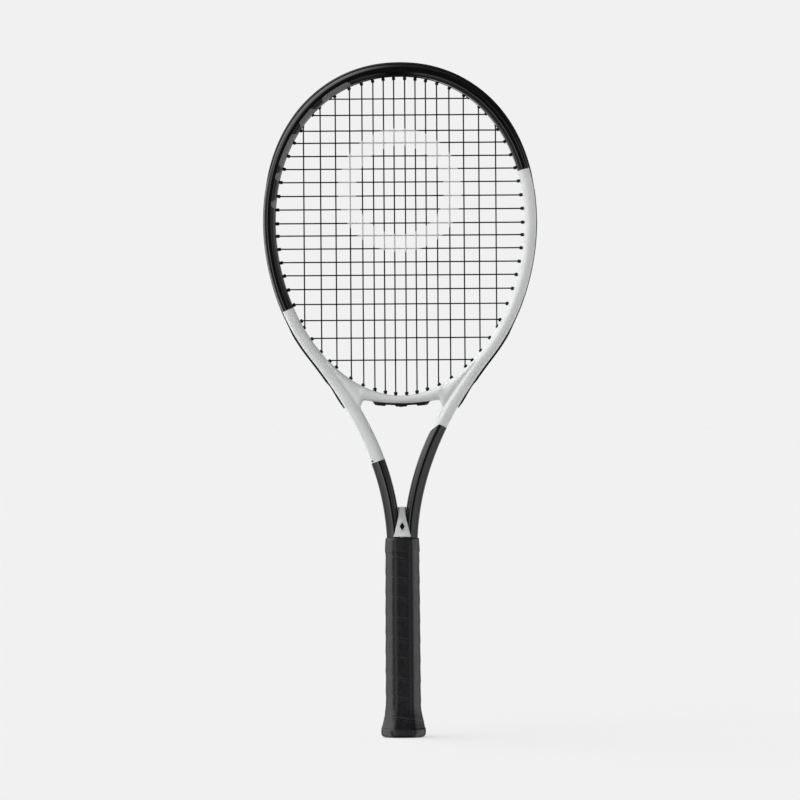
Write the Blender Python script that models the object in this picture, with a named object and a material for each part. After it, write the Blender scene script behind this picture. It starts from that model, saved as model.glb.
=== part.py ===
"""Tennis racket: a hollow carbon hairpin, a throat bridge, a 16 by 19 string bed in grommet strips,
and a moulded octagonal handle with grip, collar and butt cap.

Metres. +Z runs from the butt to the tip, X lies across the head, Y is normal to the string bed,
and the origin is the centre of the butt end.
"""

import math

import bmesh
import bpy
import numpy as np

MM = 0.001
GAP = 0.3 * MM  # between pieces that touch

# Inside outline of the head: two half superellipses that share their widest line.
HEAD_Z = 523.0 * MM
HEAD_HALF_WIDTH = 126.4 * MM
HEAD_RISE, HEAD_RISE_POWER = 148.4 * MM, 2.12
HEAD_DROP, HEAD_DROP_POWER = 176.0 * MM, 1.92

# The tube, seen across (width, in the plane of the head) and through (depth, along Y).
HEAD_TUBE_WIDTH = 12.0 * MM
SHAFT_WIDTH = 14.4 * MM
LEG_WIDTH = 11.6 * MM
BEAM_HALF_DEPTH = 11.5 * MM
LEG_HALF_DEPTH = 8.0 * MM
LEG_X = 7.2 * MM
LEG_BOTTOM_Z = 12.0 * MM
LEG_TOP_Z = 191.0 * MM
SHAFT_FOOT_Z = 197.0 * MM
SHAFT_FULL_Z = 285.0 * MM
TUBE_WALL = 1.3 * MM

# Each shaft is one cubic curve that leaves the head where the head's outline turns inwards.
SHAFT_LEAVES_AT = math.radians(-48)
SHAFT_END_X, SHAFT_END_Z = 8.2 * MM, 190.0 * MM
SHAFT_PULL_TOP, SHAFT_PULL_BOTTOM = 62.0 * MM, 86.0 * MM

# The groove along the outer wall, which holds the grommet strips and the string's loops.
GROOVE_DEPTH = 3.7 * MM
GROOVE_HALF = 3.3 * MM
GROOVE_END_Z = 331.0 * MM
GROOVE_FADE = 8.0 * MM
STRIP_HALF = 2.9 * MM
STRIP_BASE = 1.4 * MM
HEAD_BAND = 0.5 * MM  # the head strip's base, which lies under the bumper's
STRIP_RAIL = 0.7 * MM
STRIP_PROUD = 0.5 * MM
STRIP_END_Z = 334.5 * MM
BUMPER_PROUD = 2.4 * MM
BUMPER_HALF = 7.8 * MM
BUMPER_END_Z = 556.0 * MM

# String bed
STRING_RADIUS = 0.64 * MM
STRING_CLEARANCE = 0.35 * MM  # above the strip that it lies on
MAIN_X = [x * MM for x in (5.6, 16.1, 26.7, 38.0, 50.5, 65.1, 80.5, 97.6)]
CROSS_Z = [
    z * MM
    for z in (
        648.8, 632.3, 616.4, 604.1, 590.7, 577.6, 564.2, 550.2, 536.5, 522.5,
        509.9, 496.6, 483.0, 469.6, 455.5, 440.3, 423.9, 405.8, 383.3,
    )
]
PLANE_OFFSET = 0.8 * MM  # main strings run behind the middle plane, cross strings in front of it
LOOP_OFFSET = 1.2 * MM
THROAT_MAINS = 3  # on each side, through the bridge
BARREL_RADIUS = 1.75 * MM
BORE_RADIUS = 1.09 * MM
HOLE_RADIUS = 2.1 * MM
BARREL_POKE = 3.0 * MM
SHORTEST_POKE = 0.45  # of that, where the string meets the frame at a slant
MOUTH_GAP = 0.5 * MM
SHOULDER = np.array([math.sqrt(0.5), -math.sqrt(0.5)])  # the shoulder holes' direction

# Throat bridge: its lower edge is a shallow arch that drops into the corners.
ARCH_Z = 339.2 * MM
ARCH_RISE, ARCH_SPAN = 3.2 * MM, 36.0 * MM
CORNER_START, CORNER_RUN, CORNER_DROP = 33.0 * MM, 6.0 * MM, 9.0 * MM
BRIDGE_THINNEST = 1.2 * MM
BRIDGE_HALF_DEPTH = 11.1 * MM
THROAT_STRIP_HALF_LENGTH = 29.5 * MM
THROAT_STRIP_HALF = 4.6 * MM
THROAT_STRIP_DEPTH = 3.2 * MM
THROAT_STRIP_RAIL = 1.2 * MM

# Handle: octagons, given by their half sizes across X and Y.
PALLET = (15.2 * MM, 13.2 * MM)
PALLET_FOOT = (14.2 * MM, 12.2 * MM)
PALLET_BOTTOM_Z, PALLET_STEP_Z, PALLET_TOP_Z = 4.0 * MM, 28.3 * MM, 190.0 * MM
POCKET, POCKET_CORNER = (13.3 * MM, 8.3 * MM), (10.1 * MM, 6.0 * MM)
CAP_LIP_Z = 9.0 * MM
CAP_FLATTER = 2.2 * MM  # the cap is this much shallower than it is wide, each side
DOOR = (10.9 * MM, 7.9 * MM)
DOOR_RECESS = 0.5 * MM
GRIP = (17.3 * MM, 15.3 * MM)
GRIP_TOP_Z = 193.0 * MM
TAPE_Z = 187.0 * MM
COLLAR_Z, COLLAR_TOP_Z = 188.0 * MM, 202.3 * MM
STAPLE_Z = 23.0 * MM
STAPLE_HALF = 5.0 * MM
STAPLE_WIRE = 0.6 * MM
STAPLE_CROWN_Y, STAPLE_FOOT_Y = 14.1 * MM, 10.9 * MM
STAPLE_MOUTH_Y = 16.5 * MM

# Wedge and badges
WEDGE_Z = (201.0 * MM, 233.6 * MM)
WEDGE_HALF_DEPTH = 9.5 * MM
BADGE_Z = (203.6 * MM, 227.5 * MM, 234.0 * MM)
BADGE_HALF = (8.9 * MM, 3.3 * MM, 2.9 * MM)
BADGE_THICK = 1.0 * MM


def clear_scene():
    for old in list(bpy.data.objects):
        bpy.data.objects.remove(old, do_unlink=True)


def material(name, color, roughness, metallic=0.0):
    made = bpy.data.materials.new(name)
    made.use_nodes = True
    shader = made.node_tree.nodes["Principled BSDF"]
    shader.inputs["Base Color"].default_value = (*color, 1.0)
    shader.inputs["Roughness"].default_value = roughness
    shader.inputs["Metallic"].default_value = metallic
    made.diffuse_color = (*color, 1.0)
    return made


def add_mesh(name, points, faces, look):
    """A mesh object with its faces turned outwards."""
    mesh = bpy.data.meshes.new(name)
    mesh.from_pydata([tuple(p) for p in points], [], faces)
    build = bmesh.new()
    build.from_mesh(mesh)
    bmesh.ops.recalc_face_normals(build, faces=build.faces)
    build.to_mesh(mesh)
    build.free()
    made = bpy.data.objects.new(name, mesh)
    bpy.context.scene.collection.objects.link(made)
    if look:
        mesh.materials.append(look)
    return made


def loft_data(rings, closed=False):
    """Points and faces of a skin over rings of equal length, capped unless it closes on itself."""
    count = len(rings[0])
    points = [p for ring in rings for p in ring]
    faces = []
    last = len(rings) if closed else len(rings) - 1
    for i in range(last):
        here, there = i * count, ((i + 1) % len(rings)) * count
        for j in range(count):
            k = (j + 1) % count
            faces.append((here + j, here + k, there + k, there + j))
    if not closed:
        faces.append(tuple(range(count))[::-1])
        faces.append(tuple(len(points) - count + j for j in range(count)))
    return points, faces


def loft(name, rings, look, closed=False):
    return add_mesh(name, *loft_data(rings, closed), look)


def helper(obj):
    """Marks an object as a cutter or a filler, which isn't a piece of the racket."""
    obj.hide_render = True
    obj.display_type = "WIRE"
    return obj


def combine(obj, other, operation):
    modifier = obj.modifiers.new(operation.title(), "BOOLEAN")
    modifier.operation = operation
    modifier.solver = "EXACT"
    modifier.object = other


def head_outline(angle):
    """Point and outward normal of the head's inside outline; angle 0 is its right, 90 degrees its top."""
    rise, power = (HEAD_RISE, HEAD_RISE_POWER) if angle >= 0 else (HEAD_DROP, HEAD_DROP_POWER)
    across = math.copysign(abs(math.cos(angle)) ** (2 / power), math.cos(angle))
    up = math.copysign(abs(math.sin(angle)) ** (2 / power), math.sin(angle))
    point = np.array([HEAD_HALF_WIDTH * across, HEAD_Z + rise * up])
    normal = np.array(
        [
            math.copysign(abs(across) ** (power - 1), across) / HEAD_HALF_WIDTH,
            math.copysign(abs(up) ** (power - 1), up) / rise,
        ]
    )
    return point, normal / np.linalg.norm(normal)


def head_z_below(x):
    """Height of the inside outline's lower half at x."""
    share = 1 - (abs(x) / HEAD_HALF_WIDTH) ** HEAD_DROP_POWER
    return HEAD_Z - HEAD_DROP * share ** (1 / HEAD_DROP_POWER)


def head_z_above(x):
    share = 1 - (abs(x) / HEAD_HALF_WIDTH) ** HEAD_RISE_POWER
    return HEAD_Z + HEAD_RISE * share ** (1 / HEAD_RISE_POWER)


def head_x(z):
    """Half width of the inside outline at height z."""
    rise, power = (HEAD_RISE, HEAD_RISE_POWER) if z >= HEAD_Z else (HEAD_DROP, HEAD_DROP_POWER)
    return HEAD_HALF_WIDTH * (1 - (abs(z - HEAD_Z) / rise) ** power) ** (1 / power)


def head_normal(x, z):
    rise, power = (HEAD_RISE, HEAD_RISE_POWER) if z >= HEAD_Z else (HEAD_DROP, HEAD_DROP_POWER)
    normal = np.array(
        [
            math.copysign(abs(x / HEAD_HALF_WIDTH) ** (power - 1), x) / HEAD_HALF_WIDTH,
            math.copysign((abs(z - HEAD_Z) / rise) ** (power - 1), z - HEAD_Z) / rise,
        ]
    )
    return normal / np.linalg.norm(normal)


def ramp(value, low, high):
    return min(1.0, max(0.0, (value - low) / (high - low)))


def find_spot(spots, z):
    """(index, spot) where a run of spots, highest first, passes height z."""
    for i, ((p, n), (q, m)) in enumerate(zip(spots, spots[1:])):
        if p[1] >= z >= q[1]:
            share = (p[1] - z) / (p[1] - q[1])
            normal = n + (m - n) * share
            return i + 1, (p + (q - p) * share, normal / np.linalg.norm(normal))
    raise ValueError("no such height on the path")


def half_path():
    """The tube's middle line and outward normals down its right half, from the tip to the leg's end."""
    spots = []
    for angle in np.linspace(math.radians(90), SHAFT_LEAVES_AT, 31):
        point, normal = head_outline(float(angle))
        spots.append((point + normal * HEAD_TUBE_WIDTH / 2, normal))
    start, normal = spots[-1]
    along = np.array([normal[1], -normal[0]])
    end = np.array([SHAFT_END_X, SHAFT_END_Z])
    handles = [start, start + along * SHAFT_PULL_TOP, end + [0, SHAFT_PULL_BOTTOM], end]
    for t in np.linspace(0, 1, 17)[1:]:
        weights = [(1 - t) ** 3, 3 * (1 - t) ** 2 * t, 3 * (1 - t) * t * t, t**3]
        slopes = [-((1 - t) ** 2), (1 - t) ** 2 - 2 * (1 - t) * t, 2 * (1 - t) * t - t * t, t * t]
        point = sum(w * h for w, h in zip(weights, handles))
        run = sum(w * h for w, h in zip(slopes, handles))
        run = run / np.linalg.norm(run)
        if point[1] > SHAFT_FOOT_Z:
            spots.append((point, np.array([-run[1], run[0]])))
    side = np.array([1.0, 0.0])
    spots.append((np.array([SHAFT_END_X + 0.1 * MM, SHAFT_FOOT_Z]), side))
    spots.append((np.array([LEG_X, LEG_TOP_Z]), side))
    spots.append((np.array([LEG_X, LEG_BOTTOM_Z]), side))
    for z in (GROOVE_END_Z, GROOVE_END_Z - GROOVE_FADE):
        spots.insert(*find_spot(spots, z))
    return spots


def full_path():
    """The whole hairpin, from the left leg's end round the head to the right leg's end."""
    right = half_path()
    left = [(p * [-1, 1], n * [-1, 1]) for p, n in right[1:]]
    return left[::-1] + right


def tube_width(z):
    """The tube's width where its middle line is at height z."""
    if z <= LEG_TOP_Z:
        return LEG_WIDTH
    branch_z = head_outline(SHAFT_LEAVES_AT)[0][1]
    return SHAFT_WIDTH + (HEAD_TUBE_WIDTH - SHAFT_WIDTH) * ramp(z, SHAFT_FULL_Z, branch_z)


def tube_half_depth(z):
    return LEG_HALF_DEPTH if z <= LEG_TOP_Z else BEAM_HALF_DEPTH


def place(spot, across, depth):
    """The point of a cross-section that lies across outwards from the middle line, and depth along Y."""
    point, normal = spot
    at = point + normal * across
    return (at[0], depth, at[1])


def groove_depth(z):
    return GROOVE_DEPTH * ramp(z, GROOVE_END_Z - GROOVE_FADE, GROOVE_END_Z)


def mirrored_ring(spot, half_section):
    """A ring from the half of a section on the +Y side, listed from the inner wall to the outer one."""
    front = [place(spot, across, -depth) for across, depth in reversed(half_section)]
    return [place(spot, across, depth) for across, depth in half_section] + front


def tube_ring(spot):
    """Box beam with soft shoulders, a crease on each face, and the groove in the outer wall."""
    z = spot[0][1]
    half, deep = tube_width(z) / 2, tube_half_depth(z)
    lip = GROOVE_HALF + 0.5 * MM
    section = [
        (-half, deep * 0.40),
        (-half * 0.86, deep * 0.76),
        (-half * 0.40, deep * 0.97),
        (half * 0.08, deep),
        (half * 0.62, deep * 0.92),
        (half * 0.93, deep * 0.66),
        (half, lip),
        (half - groove_depth(z), GROOVE_HALF),
    ]
    return mirrored_ring(spot, section)


def cavity_ring(spot):
    z = spot[0][1]
    half, deep = tube_width(z) / 2 - TUBE_WALL, tube_half_depth(z) - TUBE_WALL * 1.4
    floor = half - groove_depth(z)
    section = [(-half, deep * 0.45), (-half * 0.45, deep * 0.95), (floor, deep * 0.90)]
    return mirrored_ring(spot, section)


def frame_hoop(look, holes):
    path = full_path()
    frame = loft("frame_hoop", [tube_ring(spot) for spot in path], look)
    below = np.array([0, -2 * MM])
    hollow = [(path[0][0] + below, path[0][1])] + path[1:-1] + [(path[-1][0] + below, path[-1][1])]
    cavity = helper(loft("tube_cavity", [cavity_ring(spot) for spot in hollow], None))
    combine(frame, cavity, "DIFFERENCE")
    combine(frame, holes, "DIFFERENCE")
    return frame


def inner_edge_z(x):
    """Height of the shaft's inner edge at x, between the bridge's corner and the branch."""
    edge = [p - n * tube_width(p[1]) / 2 for p, n in half_path() if p[1] < HEAD_Z]
    xs, zs = [e[0] for e in edge], [e[1] for e in edge]
    return float(np.interp(x, xs[::-1], zs[::-1]))


def bridge_low(x):
    """Height of the bridge's lower edge at x."""
    x = abs(x)
    drop = CORNER_DROP * max(0.0, (x - CORNER_START) / CORNER_RUN) ** 3
    arch = ARCH_Z + ARCH_RISE * (x / ARCH_SPAN) ** 2 - drop
    return max(arch, inner_edge_z(x) + 1.2 * GAP)


def bridge_ring(x):
    low, high = bridge_low(x), head_z_below(x)
    soft = min(1.0, (high - low) / (8 * MM))
    section = [
        (high, 4.6 * MM),
        (high - 0.8 * MM * soft, 8.6 * MM),
        (high - 3.0 * MM * soft, BRIDGE_HALF_DEPTH),
        (low + 2.2 * MM * soft, BRIDGE_HALF_DEPTH),
        (low + 0.5 * MM * soft, 8.0 * MM),
        (low, 5.2 * MM),
    ]
    back = [(x, depth, z) for z, depth in section]
    return back + [(x, -depth, z) for z, depth in reversed(section)]


def throat_bridge(look, holes):
    reach = 30.0 * MM
    while head_z_below(reach) - bridge_low(reach) > BRIDGE_THINNEST:
        reach += 0.5 * MM
    middle = list(np.linspace(0, CORNER_START, 6))
    corner = list(np.linspace(CORNER_START, CORNER_START + 1.6 * CORNER_RUN, 8))[1:]
    arm = list(np.linspace(corner[-1], reach, 6))[1:]
    right = middle + corner + arm
    xs = [-x for x in right[:0:-1]] + right
    bridge = loft("throat_bridge", [bridge_ring(float(x)) for x in xs], look)
    combine(bridge, holes, "DIFFERENCE")
    return bridge


def loop_line():
    """The line along the groove that the string's loops follow, as (point, normal) spots."""
    lift = GROOVE_DEPTH - GAP - STRIP_BASE - STRING_CLEARANCE - STRING_RADIUS
    return [
        (p + n * (tube_width(p[1]) / 2 - lift), n) for p, n in full_path() if p[1] > STRIP_END_Z - 10 * MM
    ]


def exit_point(start, direction):
    """Where a straight line from start crosses the loop line."""
    line = loop_line()
    for (a, _), (b, _) in zip(line, line[1:]):
        run = b - a
        spread = direction[0] * run[1] - direction[1] * run[0]
        if abs(spread) < 1e-12:
            continue
        away = a - start
        ahead = (away[0] * run[1] - away[1] * run[0]) / spread
        share = (away[0] * direction[1] - away[1] * direction[0]) / spread
        if ahead > 0 and -1e-6 <= share <= 1 + 1e-6:
            return start + direction * ahead
    raise ValueError("a hole misses the groove")


def string_end(wall, along, direction, y, region):
    """One end of a straight run: wall is where it meets the frame, along its outward direction."""
    turn = wall - along * BARREL_POKE * max(SHORTEST_POKE, float(along @ direction) ** 2)
    if region == "throat":
        below = GAP + STRIP_BASE + STRING_CLEARANCE + STRING_RADIUS
        leave = np.array([turn[0], bridge_low(turn[0]) - below])
    else:
        leave = exit_point(turn, direction)
    return {"turn": turn, "leave": leave, "dir": direction, "y": y, "region": region}


def region_of(leave):
    if leave[1] > BUMPER_END_Z:
        return "bumper"
    return "right" if leave[0] > 0 else "left"


def main_ends():
    """(lower end, upper end) of each main run, from left to right."""
    ends = []
    for x in [-x for x in MAIN_X[::-1]] + MAIN_X:
        up, down = np.array([0.0, 1.0]), np.array([0.0, -1.0])
        if abs(x) <= MAIN_X[THROAT_MAINS - 1]:
            low = string_end(np.array([x, head_z_below(x)]), down, down, PLANE_OFFSET, "throat")
        else:
            slant = SHOULDER * [math.copysign(1, x), 1]
            low = string_end(np.array([x, head_z_below(x)]), down, slant, PLANE_OFFSET, "side")
            low["region"] = region_of(low["leave"])
        wall = np.array([x, head_z_above(x)])
        high = string_end(wall, up, head_normal(x, wall[1]), PLANE_OFFSET, "bumper")
        ends.append((low, high))
    return ends


def cross_ends():
    """(left end, right end) of each cross run, from the top down."""
    ends = []
    for z in CROSS_Z:
        pair = []
        for side in (-1, 1):
            wall = np.array([side * head_x(z), z])
            end = string_end(wall, np.array([side, 0.0]), head_normal(*wall), -PLANE_OFFSET, "side")
            end["region"] = region_of(end["leave"])
            pair.append(end)
        ends.append(tuple(pair))
    return ends


def between(a, b):
    """The loop line's spots between two exit points, thinned to at least 5 mm from each."""
    line = loop_line()
    points = np.array([p for p, _ in line])
    i, j = (int(np.argmin(np.linalg.norm(points - e["leave"], axis=1))) for e in (a, b))
    step = 1 if j >= i else -1
    middle = [points[k] for k in range(i, j + step, step)]
    chord = (b["leave"] - a["leave"]) / np.linalg.norm(b["leave"] - a["leave"])
    reach = float(np.linalg.norm(b["leave"] - a["leave"]))
    return [p for p in middle if 4 * MM < (p - a["leave"]) @ chord < reach - 4 * MM]


def string_route(ends, first):
    """The whole string: each run goes from one end of its pair to the other, then loops to the next."""
    route = []
    side = first
    for number, pair in enumerate(ends):
        start, stop = pair[side], pair[1 - side]
        y = start["y"]
        loop_y = math.copysign(LOOP_OFFSET, y)
        for end, order in ((start, ("leave", "turn")), (stop, ("turn", "leave"))):
            for key in order:
                route.append((end[key][0], y, end[key][1]))
        if number + 1 < len(ends):
            following = ends[number + 1][1 - side]
            if stop["region"] != "throat":
                route += [(p[0], loop_y, p[1]) for p in between(stop, following)]
        side = 1 - side
    return route


def string(name, route, look):
    curve = bpy.data.curves.new(name, "CURVE")
    curve.dimensions = "3D"
    curve.bevel_depth = STRING_RADIUS
    curve.bevel_resolution = 1
    curve.use_fill_caps = True
    line = curve.splines.new("POLY")
    line.points.add(len(route) - 1)
    for point, place_at in zip(line.points, route):
        point.co = (*place_at, 1.0)
    made = bpy.data.objects.new(name, curve)
    bpy.context.scene.collection.objects.link(made)
    curve.materials.append(look)
    return made


def peg_data(end, radius, before, after):
    """A hexagonal peg round a barrel's axis, from before the turn to after the exit."""
    direction = end["dir"]
    span = float(np.linalg.norm(end["leave"] - end["turn"]))
    side = np.array([-direction[1], direction[0]])
    rings = []
    for reach in (before, span + after):
        centre = end["turn"] + direction * reach
        ring = []
        for k in range(6):
            angle = math.radians(60 * k)
            at = centre + side * math.cos(angle) * radius
            ring.append((at[0], end["y"] + math.sin(angle) * radius, at[1]))
        rings.append(ring)
    return loft_data(rings)


def pegs(name, ends, radius, before, after):
    """One helper object that holds a peg for each end."""
    points, faces = [], []
    for end in ends:
        more, skin = peg_data(end, radius, before, after)
        faces += [tuple(i + len(points) for i in face) for face in skin]
        points += more
    return helper(add_mesh(name, points, faces, None))


def bore(strip, ends):
    """Opens a strip for the string at each of these ends."""
    combine(strip, pegs(strip.name + "_bores", ends, BORE_RADIUS, -4 * MM, 6 * MM), "DIFFERENCE")


def add_barrels(strip, ends, base):
    """Gives a strip its grommet barrels, which grow from the middle of its base, and bores them."""
    sunk = STRING_RADIUS + STRING_CLEARANCE + STRIP_BASE - base / 2
    barrels = pegs(strip.name + "_barrels", ends, BARREL_RADIUS, MOUTH_GAP, -sunk)
    combine(strip, barrels, "UNION")
    bore(strip, ends)


def strip_section(spot):
    """A channel that lies in the groove, with two rails that guard the string."""
    half = tube_width(spot[0][1]) / 2
    floor = half - GROOVE_DEPTH + GAP
    rail = STRIP_HALF - STRIP_RAIL
    section = [
        (floor, STRIP_HALF),
        (half + STRIP_PROUD, STRIP_HALF),
        (half + STRIP_PROUD, rail),
        (floor + STRIP_BASE, rail),
    ]
    return mirrored_ring(spot, section)


def head_strip_section(spot):
    """A flat band on the groove's floor."""
    floor = tube_width(spot[0][1]) / 2 - GROOVE_DEPTH + GAP
    return mirrored_ring(spot, [(floor, STRIP_HALF), (floor + HEAD_BAND, STRIP_HALF)])


def bumper_section(spot):
    """A channel over the head strip, with flanges that wrap over the tube's outer shoulders."""
    half = tube_width(spot[0][1]) / 2
    groove_floor = half - GROOVE_DEPTH + GAP
    floor = groove_floor + HEAD_BAND + GAP
    top = half + BUMPER_PROUD
    rail = STRIP_HALF - STRIP_RAIL
    section = [
        (floor, STRIP_HALF),
        (half + GAP, STRIP_HALF),
        (half + GAP, GROOVE_HALF + 0.6 * MM),
        (half * 0.93 + GAP * 1.6, BUMPER_HALF),
        (half + 0.9 * MM, BUMPER_HALF + 0.2 * MM),
        (top, BUMPER_HALF - 1.8 * MM),
        (top, rail),
        (groove_floor + STRIP_BASE, rail),
    ]
    return mirrored_ring(spot, section)


def spots_between(low_z, high_z, side):
    """The path's spots on one side (or both, if side is 0) of the head, between two heights."""
    chosen = []
    for point, normal in full_path():
        if low_z <= point[1] <= high_z and (side == 0 or point[0] * side > 0):
            chosen.append((point, normal))
    return chosen


def spot_at(z, side):
    """The path's spot at height z, on the side where X has the sign of side."""
    point, normal = find_spot(half_path(), z)[1]
    flip = np.array([side, 1])
    return point * flip, normal * flip


def side_strip(name, side, ends, look):
    top, bottom = BUMPER_END_Z - GAP, STRIP_END_Z
    spots = [spot_at(top, side)]
    inner = spots_between(bottom + 4 * MM, top - 4 * MM, side)
    spots += sorted(inner, key=lambda spot: -spot[0][1])
    spots.append(spot_at(bottom, side))
    strip = loft(name, [strip_section(spot) for spot in spots], look)
    add_barrels(strip, ends, STRIP_BASE)


def over_the_top():
    """The path's spots that the bumper covers, from left to right."""
    spots = spots_between(BUMPER_END_Z + 4 * MM, 1.0, 0)
    return [spot_at(BUMPER_END_Z, -1)] + spots + [spot_at(BUMPER_END_Z, 1)]


def head_strip(ends, look):
    strip = loft("grommet_strip_head", [head_strip_section(spot) for spot in over_the_top()], look)
    add_barrels(strip, ends, HEAD_BAND)


def bumper_guard(ends, look):
    bumper = loft("bumper_guard", [bumper_section(spot) for spot in over_the_top()], look)
    bore(bumper, ends)


def throat_strip_ring(x):
    top = bridge_low(x) - GAP
    base = top - STRIP_BASE
    foot = top - THROAT_STRIP_DEPTH
    rail = THROAT_STRIP_HALF - THROAT_STRIP_RAIL
    section = [(top, THROAT_STRIP_HALF), (foot, THROAT_STRIP_HALF), (foot, rail), (base, rail)]
    back = [(x, depth, z) for z, depth in section]
    return back + [(x, -depth, z) for z, depth in reversed(section)]


def throat_strip(ends, look):
    xs = np.linspace(-THROAT_STRIP_HALF_LENGTH, THROAT_STRIP_HALF_LENGTH, 9)
    strip = loft("grommet_strip_throat", [throat_strip_ring(float(x)) for x in xs], look)
    add_barrels(strip, ends, STRIP_BASE)


def octagon(half, z, centre=(0.0, 0.0)):
    """Eight points round an octagon whose flats are half as long as its sides are wide."""
    x, y = half
    corners = [(x, y / 2), (x / 2, y), (-x / 2, y), (-x, y / 2), (-x, -y / 2), (-x / 2, -y)]
    corners += [(x / 2, -y), (x, -y / 2)]
    return [(centre[0] + a, centre[1] + b, z) for a, b in corners]


def sleeve(name, outer, inner, look):
    """A ring-shaped solid: octagons up its outside, then down its inside."""
    rings = [octagon(half, z) for half, z in outer] + [octagon(half, z) for half, z in inner]
    return loft(name, rings, look, closed=True)


def cap_size(half_x):
    return (half_x * MM, half_x * MM - CAP_FLATTER)


def pallet(name, side, look):
    """Half of the handle's foam: half an octagon outside, and the legs' pocket inside."""
    rings = []
    levels = [(PALLET_FOOT, PALLET_BOTTOM_Z), (PALLET_FOOT, PALLET_STEP_Z)]
    levels += [(PALLET, PALLET_STEP_Z + GAP), (PALLET, PALLET_TOP_Z)]
    seam = GAP / 2
    right = [(POCKET[0], seam), (POCKET[0], POCKET_CORNER[1]), (POCKET_CORNER[0], POCKET[1])]
    pocket = right + [(-a, b) for a, b in right[::-1]]
    for (x, y), z in levels:
        outline = [(-x, seam), (-x, y / 2), (-x / 2, y), (x / 2, y), (x, y / 2), (x, seam)] + pocket
        rings.append([(a, side * b, z) for a, b in outline])
    return loft(name, rings, look)


def butt_cap(look):
    opening = (DOOR[0] + GAP, DOOR[1] + GAP)
    outer = [
        (cap_size(20.8), 0.0),
        (cap_size(22.3), 1.3 * MM),
        (cap_size(22.8), 4.0 * MM),
        (cap_size(22.8), CAP_LIP_Z),
        (cap_size(20.2), CAP_LIP_Z),
        (cap_size(19.2), 14.0 * MM),
        (cap_size(17.5), 20.0 * MM),
        (cap_size(15.7), 27.5 * MM),
    ]
    inner = [
        (cap_size(14.7), 27.5 * MM),
        (cap_size(14.7), 3.0 * MM),
        (opening, 3.0 * MM),
        (opening, 0.0),
    ]
    return sleeve("butt_cap", outer, inner, look)


def butt_cap_door(look):
    spigot = (DOOR[0] - 1.4 * MM, DOOR[1] - 1.4 * MM)
    levels = [(DOOR, DOOR_RECESS), (DOOR, 2.6 * MM), (spigot, 2.6 * MM + GAP), (spigot, 9.0 * MM)]
    return loft("butt_cap_door", [octagon(half, z) for half, z in levels], look)


def grip_wrap(look):
    outer = [
        ((22.7 * MM, 20.6 * MM), CAP_LIP_Z + GAP),
        ((21.2 * MM, 19.1 * MM), 14.0 * MM),
        ((19.5 * MM, 17.4 * MM), 20.0 * MM),
        ((17.9 * MM, 15.9 * MM), 27.0 * MM),
        (GRIP, 32.0 * MM),
        (GRIP, TAPE_Z),
        ((16.7 * MM, 14.7 * MM), TAPE_Z),
        ((16.7 * MM, 14.7 * MM), GRIP_TOP_Z),
    ]
    inner = [
        ((15.5 * MM, 13.5 * MM), GRIP_TOP_Z),
        ((15.5 * MM, 13.5 * MM), 31.0 * MM),
        ((16.1 * MM, 13.9 * MM), 27.9 * MM),
        ((17.9 * MM, 15.7 * MM), 20.2 * MM),
        ((19.6 * MM, 17.4 * MM), 14.0 * MM),
        ((20.6 * MM, 18.4 * MM), CAP_LIP_Z + GAP),
    ]
    return sleeve("grip_wrap", outer, inner, look)


def finishing_tape(look):
    outside, inside = (17.25 * MM, 15.25 * MM), (17.0 * MM, 15.0 * MM)
    low, high = TAPE_Z + GAP, GRIP_TOP_Z
    return sleeve("finishing_tape", [(outside, low), (outside, high)], [(inside, high), (inside, low)], look)


def grip_collar(look):
    outer = [
        ((18.2 * MM, 16.2 * MM), COLLAR_Z),
        ((18.3 * MM, 16.3 * MM), 194.0 * MM),
        ((18.1 * MM, 16.0 * MM), 201.0 * MM),
        ((17.8 * MM, 15.6 * MM), COLLAR_TOP_Z),
    ]
    inner = [
        ((17.2 * MM, 14.9 * MM), COLLAR_TOP_Z),
        ((17.2 * MM, 14.9 * MM), 194.0 * MM),
        ((17.55 * MM, 15.55 * MM), 193.4 * MM),
        ((17.55 * MM, 15.55 * MM), COLLAR_Z),
    ]
    return sleeve("grip_collar", outer, inner, look)


def box_data(low, high):
    ring = [(low[0], low[1]), (high[0], low[1]), (high[0], high[1]), (low[0], high[1])]
    return loft_data([[(x, y, z) for x, y in ring] for z in (low[2], high[2])])


def staple_outline(grow):
    """The staple's outline in X and Y: a crown with two legs, larger all round by grow."""
    half, wire, crown_y, foot_y = STAPLE_HALF, STAPLE_WIRE, STAPLE_CROWN_Y, STAPLE_FOOT_Y
    g = grow
    return [
        (-half - g, crown_y + g),
        (half + g, crown_y + g),
        (half + g, foot_y - g),
        (half - wire - g, foot_y - g),
        (half - wire - g, crown_y - wire - g),
        (-half + wire + g, crown_y - wire - g),
        (-half + wire + g, foot_y - g),
        (-half - g, foot_y - g),
    ]


def staple_piece(name, side, grow, look):
    half_height = STAPLE_WIRE + grow
    outline = [(x, side * y) for x, y in staple_outline(grow)]
    rings = [[(x, y, z) for x, y in outline] for z in (STAPLE_Z - half_height, STAPLE_Z + half_height)]
    return loft(name, rings, look)


def staple_slot(side, name):
    """The room for a staple, open to the outside of the butt cap."""
    slot = helper(staple_piece(name, side, GAP, None))
    half_height = STAPLE_WIRE + GAP
    low, high = sorted((side * (STAPLE_CROWN_Y - half_height), side * STAPLE_MOUTH_Y))
    reach = STAPLE_HALF + GAP
    box = box_data((-reach, low, STAPLE_Z - half_height), (reach, high, STAPLE_Z + half_height))
    opening = helper(add_mesh(name + "_mouth", *box, None))
    return slot, opening


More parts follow.
